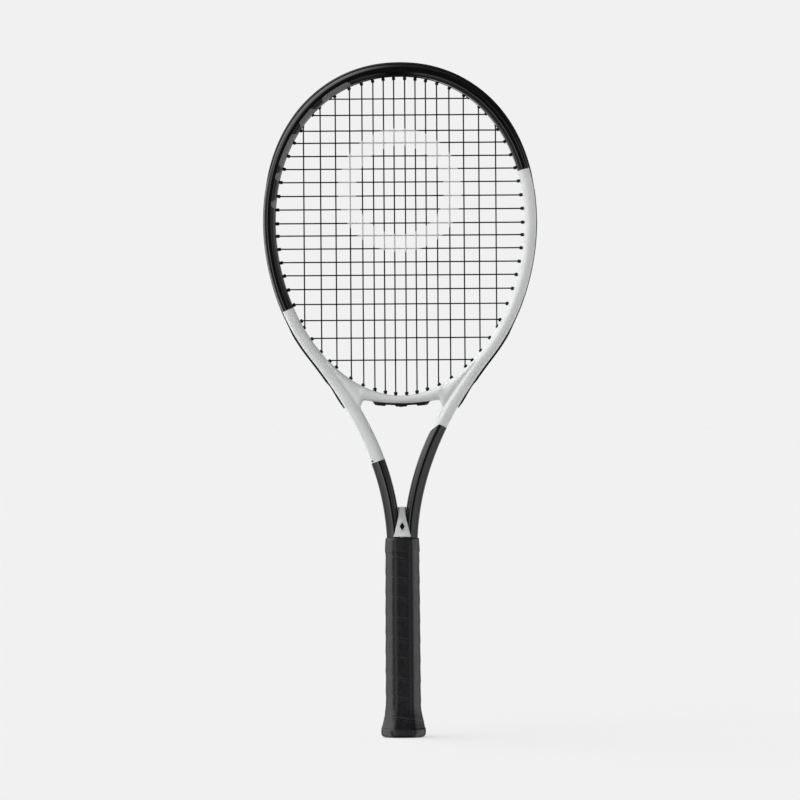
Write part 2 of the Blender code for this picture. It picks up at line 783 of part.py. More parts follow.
def throat_wedge(look):
    """Fills the V between the shafts."""
    rings = []
    for z in np.linspace(WEDGE_Z[0], WEDGE_Z[1], 5):
        spot = spot_at(float(z), 1)
        half = spot[0][0] - tube_width(float(z)) / 2 / spot[1][0] - 1.3 * GAP
        deep = WEDGE_HALF_DEPTH
        rings.append([(half, deep, z), (-half, deep, z), (-half, -deep, z), (half, -deep, z)])
    return loft("throat_wedge", rings, look)


def badge(name, side, look):
    near = BEAM_HALF_DEPTH + GAP
    far = near + BADGE_THICK
    outline = list(zip(BADGE_HALF, BADGE_Z))
    outline += [(-x, z) for x, z in reversed(outline)]
    rings = [[(x, side * y, z) for x, z in outline] for y in (near, far)]
    return loft(name, rings, look)


def main():
    clear_scene()
    black = material("black_lacquer", (0.012, 0.012, 0.014), 0.28)
    white = material("white_lacquer", (0.78, 0.80, 0.79), 0.30)
    nylon = material("black_nylon", (0.015, 0.015, 0.016), 0.45)
    gut = material("black_string", (0.02, 0.02, 0.02), 0.35)
    foam = material("cream_foam", (0.72, 0.66, 0.50), 0.85)
    cushion = material("grip_black", (0.02, 0.02, 0.024), 0.6)
    shell = material("cap_black", (0.02, 0.02, 0.022), 0.5)
    ring = material("collar_rubber", (0.02, 0.02, 0.022), 0.7)
    steel = material("staple_steel", (0.6, 0.6, 0.6), 0.35, 1.0)
    silver = material("badge_silver", (0.62, 0.63, 0.64), 0.32, 0.8)
    tape = material("tape_black", (0.015, 0.015, 0.015), 0.4)

    mains, crosses = main_ends(), cross_ends()
    ends = [end for pair in mains + crosses for end in pair]
    holes = pegs("string_holes", ends, HOLE_RADIUS, MOUTH_GAP - 2 * MM, 8 * MM)

    frame_hoop(black, holes)
    throat_bridge(white, holes)
    head_ends = [end for end in ends if end["region"] == "bumper"]
    head_strip(head_ends, nylon)
    bumper_guard(head_ends, nylon)
    side_strip("grommet_strip_left", -1, [end for end in ends if end["region"] == "left"], nylon)
    side_strip("grommet_strip_right", 1, [end for end in ends if end["region"] == "right"], nylon)
    throat_strip([end for end in ends if end["region"] == "throat"], nylon)
    string("main_string", string_route(mains, 0), gut)
    string("cross_string", string_route(crosses, 0), gut)

    throat_wedge(black)
    badge("badge_front", -1, silver)
    badge("badge_back", 1, silver)
    cap = butt_cap(shell)
    for name, side in (("front", -1), ("back", 1)):
        half = pallet("pallet_" + name, side, foam)
        staple_piece("butt_cap_staple_" + name, side, 0.0, steel)
        for cutter in staple_slot(side, "slot_" + name):
            combine(half, cutter, "DIFFERENCE")
            combine(cap, cutter, "DIFFERENCE")
    butt_cap_door(shell)
    grip_wrap(cushion)
    finishing_tape(tape)
    grip_collar(ring)


main()
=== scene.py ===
"""Looks of the tennis racket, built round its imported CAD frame.

Metres. +Z runs from the butt to the tip, X lies across the head, and the camera looks along +Y.
"""

import math

import bmesh
import bpy
import numpy as np
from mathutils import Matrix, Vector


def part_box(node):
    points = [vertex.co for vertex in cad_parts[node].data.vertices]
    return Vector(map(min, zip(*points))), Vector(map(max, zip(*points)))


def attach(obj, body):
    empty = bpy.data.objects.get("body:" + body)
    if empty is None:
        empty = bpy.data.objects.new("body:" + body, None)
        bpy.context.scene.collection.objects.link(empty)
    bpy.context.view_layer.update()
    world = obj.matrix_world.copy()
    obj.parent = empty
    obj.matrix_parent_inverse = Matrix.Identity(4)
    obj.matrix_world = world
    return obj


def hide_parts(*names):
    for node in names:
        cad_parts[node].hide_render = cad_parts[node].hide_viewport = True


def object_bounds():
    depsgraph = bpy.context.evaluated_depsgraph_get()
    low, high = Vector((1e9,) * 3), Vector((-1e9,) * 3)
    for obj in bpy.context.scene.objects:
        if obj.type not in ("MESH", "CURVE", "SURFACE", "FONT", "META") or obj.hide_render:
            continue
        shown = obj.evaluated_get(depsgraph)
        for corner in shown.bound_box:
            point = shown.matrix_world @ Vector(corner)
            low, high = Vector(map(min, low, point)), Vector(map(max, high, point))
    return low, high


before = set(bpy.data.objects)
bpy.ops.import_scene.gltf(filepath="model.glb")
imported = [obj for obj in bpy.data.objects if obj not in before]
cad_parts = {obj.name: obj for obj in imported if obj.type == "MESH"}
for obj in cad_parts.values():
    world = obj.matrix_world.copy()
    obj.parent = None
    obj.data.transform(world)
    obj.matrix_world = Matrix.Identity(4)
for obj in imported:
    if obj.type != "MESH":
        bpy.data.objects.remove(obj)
cad_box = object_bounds()

MM = 0.001


def mm(*values):
    """Millimetres as metres."""
    return [value * MM for value in values]


# The head's inside outline and the shafts, as in the CAD.
HEAD_Z, HEAD_HALF_WIDTH = mm(523.0, 126.4)
HEAD_RISE, HEAD_RISE_POWER = 148.4 * MM, 2.12
HEAD_DROP, HEAD_DROP_POWER = 176.0 * MM, 1.92
HEAD_TUBE_WIDTH, SHAFT_WIDTH = mm(12.0, 14.4)
BEAM_HALF_DEPTH = 11.5 * MM
SHAFT_LEAVES_AT = math.radians(-48)
SHAFT_END_X, SHAFT_END_Z = mm(8.2, 190.0)
SHAFT_PULL_TOP, SHAFT_PULL_BOTTOM = mm(62.0, 86.0)
SHAFT_FULL_Z = 285.0 * MM

# The groove, its strips and the bumper guard.
GROOVE_DEPTH, GROOVE_HALF = mm(3.7, 3.3)
GROOVE_END_Z, GROOVE_FADE = mm(334.5, 8.0)
STRIP_BASE, STRIP_HALF, STRIP_RAIL = mm(1.4, 2.9, 0.7)
STRIP_END_Z = 338.3 * MM
STRIP_PROUD, STRIP_LOW_PROUD = mm(0.85, 0.45)
STRIP_LOW_FROM, STRIP_LOW_FULL = mm(470, 400)
STRIP_PADS = [(349.0, 343.5, 0.6), (412.0, 366.0, 0.75)]  # top, foot and extra height, in mm
HEAD_BAND = 0.5 * MM
BUMPER_PROUD, BUMPER_HALF = mm(2.4, 7.8)
BUMPER_END_Z = 556.0 * MM
GAP = 0.3 * MM

# String bed
STRING_RADIUS = 0.70 * MM
STRING_CLEARANCE = 0.35 * MM
MAIN_X = mm(5.6, 16.1, 26.7, 38.0, 50.5, 65.1, 80.5, 97.6)
CROSS_Z = mm(
    648.8, 632.3, 616.4, 604.1, 590.7, 577.6, 564.2, 550.2, 536.5, 522.5,
    509.9, 496.6, 483.0, 469.6, 455.5, 440.3, 423.9, 405.8, 383.3,
)
PLANE_OFFSET, LOOP_OFFSET = mm(0.8, 1.2)
WEAVE = 0.66 * MM  # how far a string swings from the middle plane where two cross
THROAT_MAINS = 3
BARREL_POKE = 3.0 * MM
BARREL_KNOB = [(-0.7, 0.85), (-0.6, 1.20), (-0.2, 1.55), (0.4, 1.76), (1.0, 1.78)]  # reach, radius in mm
SHORTEST_POKE, SHORTEST_LOW_POKE = 0.45, 0.78  # shares of it where a string meets the frame aslant
LOW_SWELL, LOW_SWELL_Z = 1.12, HEAD_Z - 50 * MM  # the barrels are stouter lower down the head
SHOULDER = np.array([math.sqrt(0.5), -math.sqrt(0.5)])

# The bridge's lower edge, an arch that drops into the corners.
ARCH_Z, ARCH_RISE, ARCH_SPAN = mm(339.2, 3.2, 36.0)
CORNER_START, CORNER_RUN, CORNER_DROP = mm(36.5, 5.0, 9.0)
THROAT_STRIP_HALF_LENGTH, THROAT_STRIP_HALF = mm(29.5, 4.6)

# The lacquer, and where it changes colour.
LEFT_HEAD_PAINT_Z, RIGHT_HEAD_PAINT_Z = mm(435.0, 576.0)
LEFT_SHAFT_PAINT_Z, RIGHT_SHAFT_PAINT_Z = mm(280.5, 317.0)
PAINT_OVERLAP = 14.0 * MM
PAINT_STEP = 0.12 * MM
BLOCK_STEP = PAINT_STEP + 0.05 * MM
CHAMFER, CHAMFER_FADE = mm(9.5, 24)
MELT_VOXEL, MELT_STEPS = 0.75 * MM, 12
FOOT_TAPER = 1.0 * MM  # how much shallower the shafts get where the collar grips them
GLINT_WIDTH, GLINT_DROP = mm(0.8, 0.11)  # narrow facets on both sides of the ridge
GREY_BLOCKS = [(649, 667.5), (623.4, 641.5), (580.5, 615.6), (566.3, 576.0), (537.8, 546.9)]  # mm

# The grip's helix.
GRIP_PITCH, GRIP_SEAM_Z = mm(20.25, 19.9)
GRIP_LAP, GRIP_BEAD, GRIP_SEAM = mm(0.42, 0.16, 0.14)
GRIP_POINTS, GRIP_STEP = 112, 0.34 * MM

# The ring stencilled on the strings.
STENCIL_Z, STENCIL_RADIUS, STENCIL_BAND = mm(556.0, 54.0, 18.0)
STENCIL_SOFT = 0.6 * MM
STRING_BLACK, STRING_WHITE = (0.005, 0.005, 0.006), (0.62, 0.63, 0.63)

# A colour Mix node's sockets.
MIX_FIRST, MIX_SECOND, MIX_RESULT = 6, 7, 2

# The studio. BACKDROP and FLOOR_GLOW make the floor and the backdrop look the same.
BACKDROP = 0.879
FLOOR_ALBEDO, FLOOR_GLOW = 0.30, 0.587
FLOOR_RADIUS, FLOOR_SIDES, FLOOR_DROP = 60.0, 96, 0.15 * MM
FILL_LIGHT = 0.03
# Radiance of the light round the racket, by degrees from the camera's side; the back mirrors the front.
ROUND_LIGHT = [
    (-90, 3.6), (-74, 1.8), (-62, 0.25), (-45, 0.25), (-32, 1.0), (-22, 1.5), (-18, 2.8), (-13, 2.6),
    (-9, 0.1), (0, 0.0), (10, 0.0), (16, 1.1), (25, 1.3), (40, 0.3), (60, 0.3), (74, 1.5), (90, 3.3),
]
ROUND_RISE, ROUND_FALL = (4, 34), (-75, -40)  # degrees of elevation
TOP_LIGHT, TOP_REACH = 0.3, (35, 75)
KEY_LIGHT, KEY_FROM, KEY_REACH = 3.2, (-0.62, -0.34, 0.70), (0.76, 0.97)

# The camera.
LENS, CAMERA_AWAY = 265.6, 6.0
CAMERA_X, CAMERA_LOWER = mm(-1.3, 0.3)
CAMERA_ROLL = math.radians(0.40)


# ---- outlines

def head_half(upper):
    """How far the head's upper or lower half reaches from HEAD_Z, and the power of its curve."""
    return (HEAD_RISE, HEAD_RISE_POWER) if upper else (HEAD_DROP, HEAD_DROP_POWER)


def head_outline(angle):
    """Point and outward normal of the head's inside outline; angle 0 is its right, 90 degrees its top."""
    rise, power = head_half(angle >= 0)
    across = math.copysign(abs(math.cos(angle)) ** (2 / power), math.cos(angle))
    up = math.copysign(abs(math.sin(angle)) ** (2 / power), math.sin(angle))
    point = np.array([HEAD_HALF_WIDTH * across, HEAD_Z + rise * up])
    normal = np.array(
        [
            math.copysign(abs(across) ** (power - 1), across) / HEAD_HALF_WIDTH,
            math.copysign(abs(up) ** (power - 1), up) / rise,
        ]
    )
    return point, normal / np.linalg.norm(normal)


def head_z_below(x):
    """Height of the inside outline's lower half at x."""
    share = 1 - (abs(x) / HEAD_HALF_WIDTH) ** HEAD_DROP_POWER
    return HEAD_Z - HEAD_DROP * share ** (1 / HEAD_DROP_POWER)


def head_z_above(x):
    """Height of the inside outline's upper half at x."""
    share = 1 - (abs(x) / HEAD_HALF_WIDTH) ** HEAD_RISE_POWER
    return HEAD_Z + HEAD_RISE * share ** (1 / HEAD_RISE_POWER)


def head_x(z):
    """Half width of the inside outline at height z."""
    rise, power = head_half(z >= HEAD_Z)
    return HEAD_HALF_WIDTH * (1 - (abs(z - HEAD_Z) / rise) ** power) ** (1 / power)


def head_normal(x, z):
    """Outward normal of the inside outline at a point on it."""
    rise, power = head_half(z >= HEAD_Z)
    across = math.copysign(abs(x / HEAD_HALF_WIDTH) ** (power - 1), x) / HEAD_HALF_WIDTH
    up = math.copysign((abs(z - HEAD_Z) / rise) ** (power - 1), z - HEAD_Z) / rise
    normal = np.array([across, up])
    return normal / np.linalg.norm(normal)


def ramp(value, low, high):
    """0 below low, 1 above high, and straight between them."""
    return min(1.0, max(0.0, (value - low) / (high - low)))


def half_path():
    """The tube's middle line and outward normals down its right half, from the tip into the handle."""
    spots = []
    for angle in np.linspace(math.radians(90), SHAFT_LEAVES_AT, 181):
        point, normal = head_outline(float(angle))
        spots.append((point + normal * HEAD_TUBE_WIDTH / 2, normal))
    start, normal = spots[-1]
    along = np.array([normal[1], -normal[0]])
    end = np.array([SHAFT_END_X, SHAFT_END_Z])
    handles = [start, start + along * SHAFT_PULL_TOP, end + [0, SHAFT_PULL_BOTTOM], end]
    for t in np.linspace(0, 1, 121)[1:]:
        weights = [(1 - t) ** 3, 3 * (1 - t) ** 2 * t, 3 * (1 - t) * t * t, t**3]
        slopes = [-((1 - t) ** 2), (1 - t) ** 2 - 2 * (1 - t) * t, 2 * (1 - t) * t - t * t, t * t]
        point = sum(w * h for w, h in zip(weights, handles))
        run = sum(w * h for w, h in zip(slopes, handles))
        run = run / np.linalg.norm(run)
        spots.append((point, np.array([-run[1], run[0]])))
    return spots


def full_path():
    """(points, normals, lengths) of the whole hairpin, from the left shaft's foot to the right one's."""
    right = half_path()
    left = [(p * [-1, 1], n * [-1, 1]) for p, n in right[1:]]
    spots = left[::-1] + right
    points = np.array([p for p, _ in spots])
    normals = np.array([n for _, n in spots])
    steps = np.linalg.norm(np.diff(points, axis=0), axis=1)
    return points, normals, np.concatenate([[0.0], np.cumsum(steps)])


PATH = full_path()


def length_at(z, side):
    """The path's length where it passes height z on the side where X has the sign of side."""
    points, _, lengths = PATH
    chosen = np.flatnonzero(points[:, 0] * side >= 0)
    order = chosen[np.argsort(points[chosen, 1])]
    return float(np.interp(z, points[order, 1], lengths[order]))


def spot(length):
    """Point and outward normal of the middle line at this length."""
    points, normals, lengths = PATH
    point = np.array([np.interp(length, lengths, points[:, k]) for k in (0, 1)])
    normal = np.array([np.interp(length, lengths, normals[:, k]) for k in (0, 1)])
    return point, normal / np.linalg.norm(normal)


def tube_width(z):
    branch_z = head_outline(SHAFT_LEAVES_AT)[0][1]
    return SHAFT_WIDTH + (HEAD_TUBE_WIDTH - SHAFT_WIDTH) * ramp(z, SHAFT_FULL_Z, branch_z)


def groove_depth(z):
    return GROOVE_DEPTH * ramp(z, GROOVE_END_Z - GROOVE_FADE, GROOVE_END_Z)


def inner_edge_z(x):
    """Height of the shaft's inner edge at x, between the bridge's corner and the branch."""
    edge = [p - n * tube_width(p[1]) / 2 for p, n in half_path() if p[1] < HEAD_Z]
    xs, zs = [e[0] for e in edge], [e[1] for e in edge]
    return float(np.interp(x, xs[::-1], zs[::-1]))


def bridge_low(x):
    """Height of the bridge's lower edge at x."""
    x = abs(x)
    drop = CORNER_DROP * max(0.0, (x - CORNER_START) / CORNER_RUN) ** 3
    return ARCH_Z + ARCH_RISE * (x / ARCH_SPAN) ** 2 - drop


# ---- mesh helpers

def add_mesh(name, points, faces, *looks):
    mesh = bpy.data.meshes.new(name)
    mesh.from_pydata([tuple(p) for p in points], [], faces)
    mesh.validate()
    made = bpy.data.objects.new(name, mesh)
    bpy.context.scene.collection.objects.link(made)
    for look in looks:
        mesh.materials.append(look)
    return made


def shade(obj, angle=38):
    obj.data.shade_smooth()
    obj.data.set_sharp_from_angle(angle=math.radians(angle))
    return obj


def outward(obj):
    """Turns the faces outwards."""
    build = bmesh.new()
    build.from_mesh(obj.data)
    bmesh.ops.recalc_face_normals(build, faces=build.faces)
    build.to_mesh(obj.data)
    build.free()
    return obj


def loft_data(rings, closed=False):
    """Points and faces of a skin over equal rings, capped unless its last ring joins its first."""
    count = len(rings[0])
    points = [p for ring in rings for p in ring]
    faces = []
    for i in range(len(rings) if closed else len(rings) - 1):
        a, b = i * count, (i + 1) % len(rings) * count
        for j in range(count):
            k = (j + 1) % count
            faces.append((a + j, a + k, b + k, b + j))
    if not closed:
        faces.append(tuple(range(count))[::-1])
        faces.append(tuple(range(len(points) - count, len(points))))
    return points, faces


def loft(name, rings, *looks, closed=False, angle=38):
    return shade(outward(add_mesh(name, *loft_data(rings, closed), *looks)), angle)


def merge(obj, others):
    """Joins other objects' meshes into obj as separate shells, with their materials."""
    together = [obj, *others]
    with bpy.context.temp_override(active_object=obj, selected_editable_objects=together):
        bpy.ops.object.join()
    return obj


def settle(obj):
    """Replaces the object's mesh by its modified one."""
    graph = bpy.context.evaluated_depsgraph_get()
    mesh = bpy.data.meshes.new_from_object(obj.evaluated_get(graph))
    obj.modifiers.clear()
    obj.data = mesh
    return obj


def round_corners(corners, cuts, steps=4, closed=False):
    """A polygon or polyline whose corners are turned into arcs; cuts gives how far each arc reaches."""
    corners = [np.array(c, float) for c in corners]
    rounded = []
    for i, here in enumerate(corners):
        ends = not closed and i in (0, len(corners) - 1)
        if ends or cuts[i] <= 0:
            rounded.append(here)
            continue
        before, after = corners[i - 1] - here, corners[(i + 1) % len(corners)] - here
        reach = min(cuts[i], np.linalg.norm(before) * 0.48, np.linalg.norm(after) * 0.48)
        a = here + before / np.linalg.norm(before) * reach
        b = here + after / np.linalg.norm(after) * reach
        for t in np.linspace(0, 1, steps + 1):
            rounded.append((1 - t) ** 2 * a + 2 * t * (1 - t) * here + t * t * b)
    return rounded


def both_sides(front):
    """A closed outline from its half with depth of 0 or more, listed from depth 0 to depth 0."""
    return front + [p * [1, -1] for p in front[-2:0:-1]]


def sweep(name, route, radius, look, sides=10):
    """A round tube along a 3-D polyline."""
    route = np.array(route)
    runs = np.gradient(route, axis=0)
    runs /= np.linalg.norm(runs, axis=1)[:, None]
    side = np.cross(runs[0], [0.3, 1.0, 0.2])
    turns = [2 * math.pi * k / sides for k in range(sides)]
    rings = []
    for point, run in zip(route, runs):
        side = side - run * (side @ run)
        side /= np.linalg.norm(side)
        other = np.cross(run, side)
        rings.append([point + radius * (math.cos(a) * side + math.sin(a) * other) for a in turns])
    return loft(name, rings, look, angle=60)


def turned(name, profile, foot, axis, look, sides=18):
    """A turned solid: profile is (distance along axis from foot, radius) from one end to the other."""
    axis = np.array(axis, float)
    side = np.cross(axis, [0.0, 1.0, 0.0])
    if np.linalg.norm(side) < 0.1:
        side = np.cross(axis, [1.0, 0.0, 0.0])
    side /= np.linalg.norm(side)
    other = np.cross(axis, side)
    turns = [2 * math.pi * k / sides for k in range(sides)]
    rings = []
    for reach, radius in profile:
        middle = foot + axis * reach
        rings.append([middle + radius * (math.cos(a) * side + math.sin(a) * other) for a in turns])
    return loft(name, rings, look)


def piece(obj, node, body="racket"):
    """Fixes a piece to its body, and hides the CAD node that it stands for."""
    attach(obj, body)
    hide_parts(node)


# ---- materials

def new_material(name, color, roughness, metallic=0.0, coat=0.0, specular=0.5):
    made = bpy.data.materials.new(name)
    made.use_nodes = True
    shader = shader_of(made)
    shader.inputs["Base Color"].default_value = (*color, 1.0)
    shader.inputs["Roughness"].default_value = roughness
    shader.inputs["Metallic"].default_value = metallic
    shader.inputs["Coat Weight"].default_value = coat
    shader.inputs["Coat Roughness"].default_value = 0.08
    shader.inputs["Specular IOR Level"].default_value = specular
    made.diffuse_color = (*color, 1.0)
    return made


def shader_of(look):
    return look.node_tree.nodes["Principled BSDF"]


def add_node(look, kind, **settings):
    """A node of this kind, whose settings are its sockets' values or its own properties."""
    node = look.node_tree.nodes.new(kind)
    for key, value in settings.items():
        if key in node.inputs:
            node.inputs[key].default_value = value
        else:
            setattr(node, key, value)
    return node


def connect(look, start, end):
    look.node_tree.links.new(start, end)


def place_node(look):
    """Coordinates in metres, fixed to the object."""
    return add_node(look, "ShaderNodeTexCoord").outputs["Object"]


def noise(look, scale, detail=3.0, stretch=None):
    """A noise pattern; scale counts its cells per metre."""
    node = add_node(look, "ShaderNodeTexNoise", Scale=scale, Detail=detail)
    where = place_node(look)
    if stretch:
        mapping = add_node(look, "ShaderNodeMapping")
        mapping.inputs["Scale"].default_value = stretch
        connect(look, where, mapping.inputs["Vector"])
        where = mapping.outputs["Vector"]
    connect(look, where, node.inputs["Vector"])
    return node.outputs["Fac"]


def spread(look, value, low, high):
    """A noise value, which is mostly from 0.3 to 0.7, spread between two numbers."""
    return remap(look, value, (0.3, 0.7), (low, high))


def vary_roughness(look, scale, low, high):
    connect(look, spread(look, noise(look, scale), low, high), shader_of(look).inputs["Roughness"])


def mix_colors(look, factor, first, second):
    """Paints the look with the first colour where the factor is 0, and the second where it is 1."""
    mix = add_node(look, "ShaderNodeMix", data_type="RGBA")
    mix.inputs[MIX_FIRST].default_value = (*first, 1.0)
    mix.inputs[MIX_SECOND].default_value = (*second, 1.0)
    connect(look, factor, mix.inputs["Factor"])
    connect(look, mix.outputs[MIX_RESULT], shader_of(look).inputs["Base Color"])


def vary_color(look, scale, dark, light):
    mix_colors(look, spread(look, noise(look, scale), 0.0, 1.0), dark, light)


def bump(look, height, strength, depth):
    node = add_node(look, "ShaderNodeBump", Strength=strength, Distance=depth)
    connect(look, height, node.inputs["Height"])
    connect(look, node.outputs["Normal"], shader_of(look).inputs["Normal"])


def math_node(look, operation, *values):
    """A Math node's result; each value is a number or a socket."""
    node = add_node(look, "ShaderNodeMath", operation=operation)
    for socket, value in zip(node.inputs, values):
        if isinstance(value, (int, float)):
            socket.default_value = value
        else:
            connect(look, value, socket)
    return node.outputs[0]


def remap(look, value, given, wanted=(0.0, 1.0), smooth=False):
    """The value moved from the given range to the wanted one."""
    node = add_node(look, "ShaderNodeMapRange")
    if smooth:
        node.interpolation_type = "SMOOTHSTEP"
    for key, number in zip(("From Min", "From Max", "To Min", "To Max"), (*given, *wanted)):
        node.inputs[key].default_value = number
    connect(look, value, node.inputs["Value"])
    return node.outputs["Result"]


def lacquer(name, dark, light, roughness, coat):
    """Sprayed lacquer: a faint orange peel, and a gloss that wanders a little."""
    look = new_material(name, light, roughness, coat=coat)
    vary_color(look, 60.0, dark, light)
    vary_roughness(look, 140.0, roughness * 0.88, roughness * 1.12)
    bump(look, noise(look, 900.0, 2.0), 0.014, 0.2 * MM)
    return look


def string_look():
    """Black polyester with a plain white ring stencilled on the string bed."""
    look = new_material("string_polyester", STRING_BLACK, 0.3, specular=0.12)
    away = add_node(look, "ShaderNodeVectorMath", operation="SUBTRACT")
    away.inputs[1].default_value = (0.0, 0.0, STENCIL_Z)
    connect(look, place_node(look), away.inputs[0])
    flat = add_node(look, "ShaderNodeVectorMath", operation="MULTIPLY")
    flat.inputs[1].default_value = (1.0, 0.0, 1.0)
    connect(look, away.outputs[0], flat.inputs[0])
    reach = add_node(look, "ShaderNodeVectorMath", operation="LENGTH")
    connect(look, flat.outputs[0], reach.inputs[0])
    off = math_node(look, "ABSOLUTE", math_node(look, "SUBTRACT", reach.outputs["Value"], STENCIL_RADIUS))
    edge = (STENCIL_BAND / 2 - STENCIL_SOFT, STENCIL_BAND / 2 + STENCIL_SOFT)
    mix_colors(look, remap(look, off, edge, (1.0, 0.0)), STRING_BLACK, STRING_WHITE)
    vary_roughness(look, 700.0, 0.24, 0.38)
    bump(look, noise(look, 1800.0, stretch=(1.0, 1.0, 0.2)), 0.12, 0.08 * MM)
    return look


def grip_look():
    """Black synthetic leather: a fine grain under a slightly worn, tacky skin."""
    look = new_material("grip_leather", (0.005, 0.005, 0.007), 0.32, specular=0.46)
    vary_color(look, 260.0, (0.004, 0.004, 0.006), (0.006, 0.006, 0.009))
    vary_roughness(look, 180.0, 0.27, 0.36)
    cells = add_node(look, "ShaderNodeTexVoronoi", Scale=1500.0, feature="SMOOTH_F1")
    connect(look, place_node(look), cells.inputs["Vector"])
    bump(look, cells.outputs["Distance"], 0.35, 0.15 * MM)
    return look


def plain_look(name, color, roughness, specular, colors, rough, scales, strength, depth):
    """A smooth black material: scales are its colour's, roughness's and grain's cells per metre."""
    look = new_material(name, color, roughness, specular=specular)
    vary_color(look, scales[0], *colors)
    vary_roughness(look, scales[1], *rough)
    bump(look, noise(look, scales[2]), strength, depth)
    return look


def nylon_look():
    color, colors = (0.006,) * 3, ((0.004,) * 3, (0.008,) * 3)
    scales = (350.0, 500.0, 2600.0)
    return plain_look("black_nylon", color, 0.42, 0.2, colors, (0.36, 0.5), scales, 0.25, 0.1 * MM)


def rubber_look():
    color, colors = (0.005, 0.005, 0.007), ((0.005, 0.005, 0.006), (0.008, 0.008, 0.010))
    scales = (300.0, 400.0, 3000.0)
    return plain_look("collar_rubber", color, 0.36, 0.46, colors, (0.30, 0.40), scales, 0.2, 0.08 * MM)


def moulded_look(name, color, roughness):
    colors, rough = (color, tuple(c * 1.5 for c in color)), (roughness * 0.85, roughness * 1.15)
    scales = (220.0, 300.0, 2200.0)
    return plain_look(name, color, roughness, 0.5, colors, rough, scales, 0.2, 0.08 * MM)


def foam_look():
    look = new_material("pallet_foam", (0.70, 0.64, 0.48), 0.8)
    vary_color(look, 120.0, (0.62, 0.56, 0.41), (0.74, 0.68, 0.52))
    cells = add_node(look, "ShaderNodeTexVoronoi", Scale=900.0)
    connect(look, place_node(look), cells.inputs["Vector"])
    bump(look, cells.outputs["Distance"], 0.4, 0.3 * MM)
    return look


def steel_look():
    look = new_material("staple_wire", (0.58, 0.58, 0.58), 0.3, metallic=1.0)
    vary_roughness(look, 900.0, 0.22, 0.4)
    bump(look, noise(look, 2500.0, stretch=(1.0, 1.0, 6.0)), 0.1, 0.05 * MM)
    return look


def badge_look():
    """Silver lacquer that darkens towards its upper end."""
    look = new_material("badge_silver", (0.6, 0.61, 0.61), 0.36, metallic=0.15)
    low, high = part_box("badge_front")
    parts = add_node(look, "ShaderNodeSeparateXYZ")
    connect(look, place_node(look), parts.inputs[0])
    fade = remap(look, parts.outputs["Z"], (low.z, high.z))
    mix_colors(look, fade, (0.74, 0.76, 0.76), (0.50, 0.51, 0.51))
    vary_roughness(look, 500.0, 0.28, 0.4)
    bump(look, noise(look, 2000.0, stretch=(8.0, 1.0, 1.0)), 0.05, 0.05 * MM)
    return look


# ---- frame

def tube_section(z, grow=0.0):
    """The tube's outline as (across, depth), from the middle of its inner wall round it."""
    half = tube_width(z) / 2 + grow
    deep = BEAM_HALF_DEPTH + grow - FOOT_TAPER * ramp(-z, -212 * MM, -201 * MM)
    groove = groove_depth(z)
    head_share = ramp(z, 300 * MM, 390 * MM)
    flat_from = -0.26 + 0.12 * head_share
    flat_to = -0.02 + 0.38 * head_share
    corners = [
        (-half, 0.0),
        (-half, deep * 0.54),
        (-half * 0.84, deep * 0.80),
        (half * flat_from - GLINT_WIDTH, deep - GLINT_DROP),
        (half * flat_from, deep),
        (half * flat_to, deep),
        (half * flat_to + GLINT_WIDTH, deep - GLINT_DROP),
        (half * 0.86, deep * 0.90),
        (half, deep * 0.66),
        (half, GROOVE_HALF + 0.25 * MM),
        (half - max(groove, 0.05 * MM), GROOVE_HALF),
        (half - max(groove, 0.05 * MM), 0.0),
    ]
    cuts = mm(0, 2.2, 1.2, 0.3, 0.2, 0.2, 0.3, 1.0, 1.6, 0.25, 0.2, 0)
    return both_sides(round_corners(corners, cuts))


def tube_ring(length, grow=0.0, shift=None):
    """The tube's ring here; shift(share) moves points along the path, from -1 inside to 1 outside."""
    point, normal = spot(length)
    half = tube_width(point[1]) / 2
    ring = []
    for across, depth in tube_section(point[1], grow):
        if shift:
            point, normal = spot(length + shift(across / half))
        at = point + normal * across
        ring.append((at[0], depth, at[1]))
    return ring


def stations(start, end, step):
    """Lengths from start to end, about a step apart."""
    count = max(1, round((end - start) / step))
    return list(np.linspace(start, end, count + 1)[:-1]) + [end]


def black_head(black):
    """The black lacquer over the head."""
    lengths = stations(length_at(LEFT_HEAD_PAINT_Z, -1), length_at(RIGHT_HEAD_PAINT_Z, 1), 2.5 * MM)
    rings = [tube_ring(lengths[0])] + [tube_ring(s, PAINT_STEP) for s in lengths]
    return loft("frame_lacquer_head", rings + [tube_ring(lengths[-1])], black)


def grey_block(low_z, high_z, face, grey):
    """A satin block along the inner facet on the head's left, on the front (1) or the back (-1)."""
    section = tube_section(HEAD_Z, BLOCK_STEP)
    picked = [
        j
        for j, (across, depth) in enumerate(section)
        if -5.6 * MM < across < -0.9 * MM and depth * face > 7.0 * MM
    ]
    rings = []
    start, end = length_at(low_z, -1), length_at(high_z, -1)
    for s in stations(start, end, 1.5 * MM):
        near = min(s - start, end - s)
        fade = max(0.0, 1 - near / (6 * MM))
        sign = 1 if s - start < end - s else -1

        def shift(share):
            return sign * fade * 3.0 * MM * max(0.0, (share + 0.9) / 0.75) ** 2

        skin = tube_ring(s, BLOCK_STEP, shift)
        core = tube_ring(s, 0.0, shift)
        rings.append([skin[j] for j in picked] + [core[j] for j in reversed(picked)])
    return loft("grey_block", rings, grey)


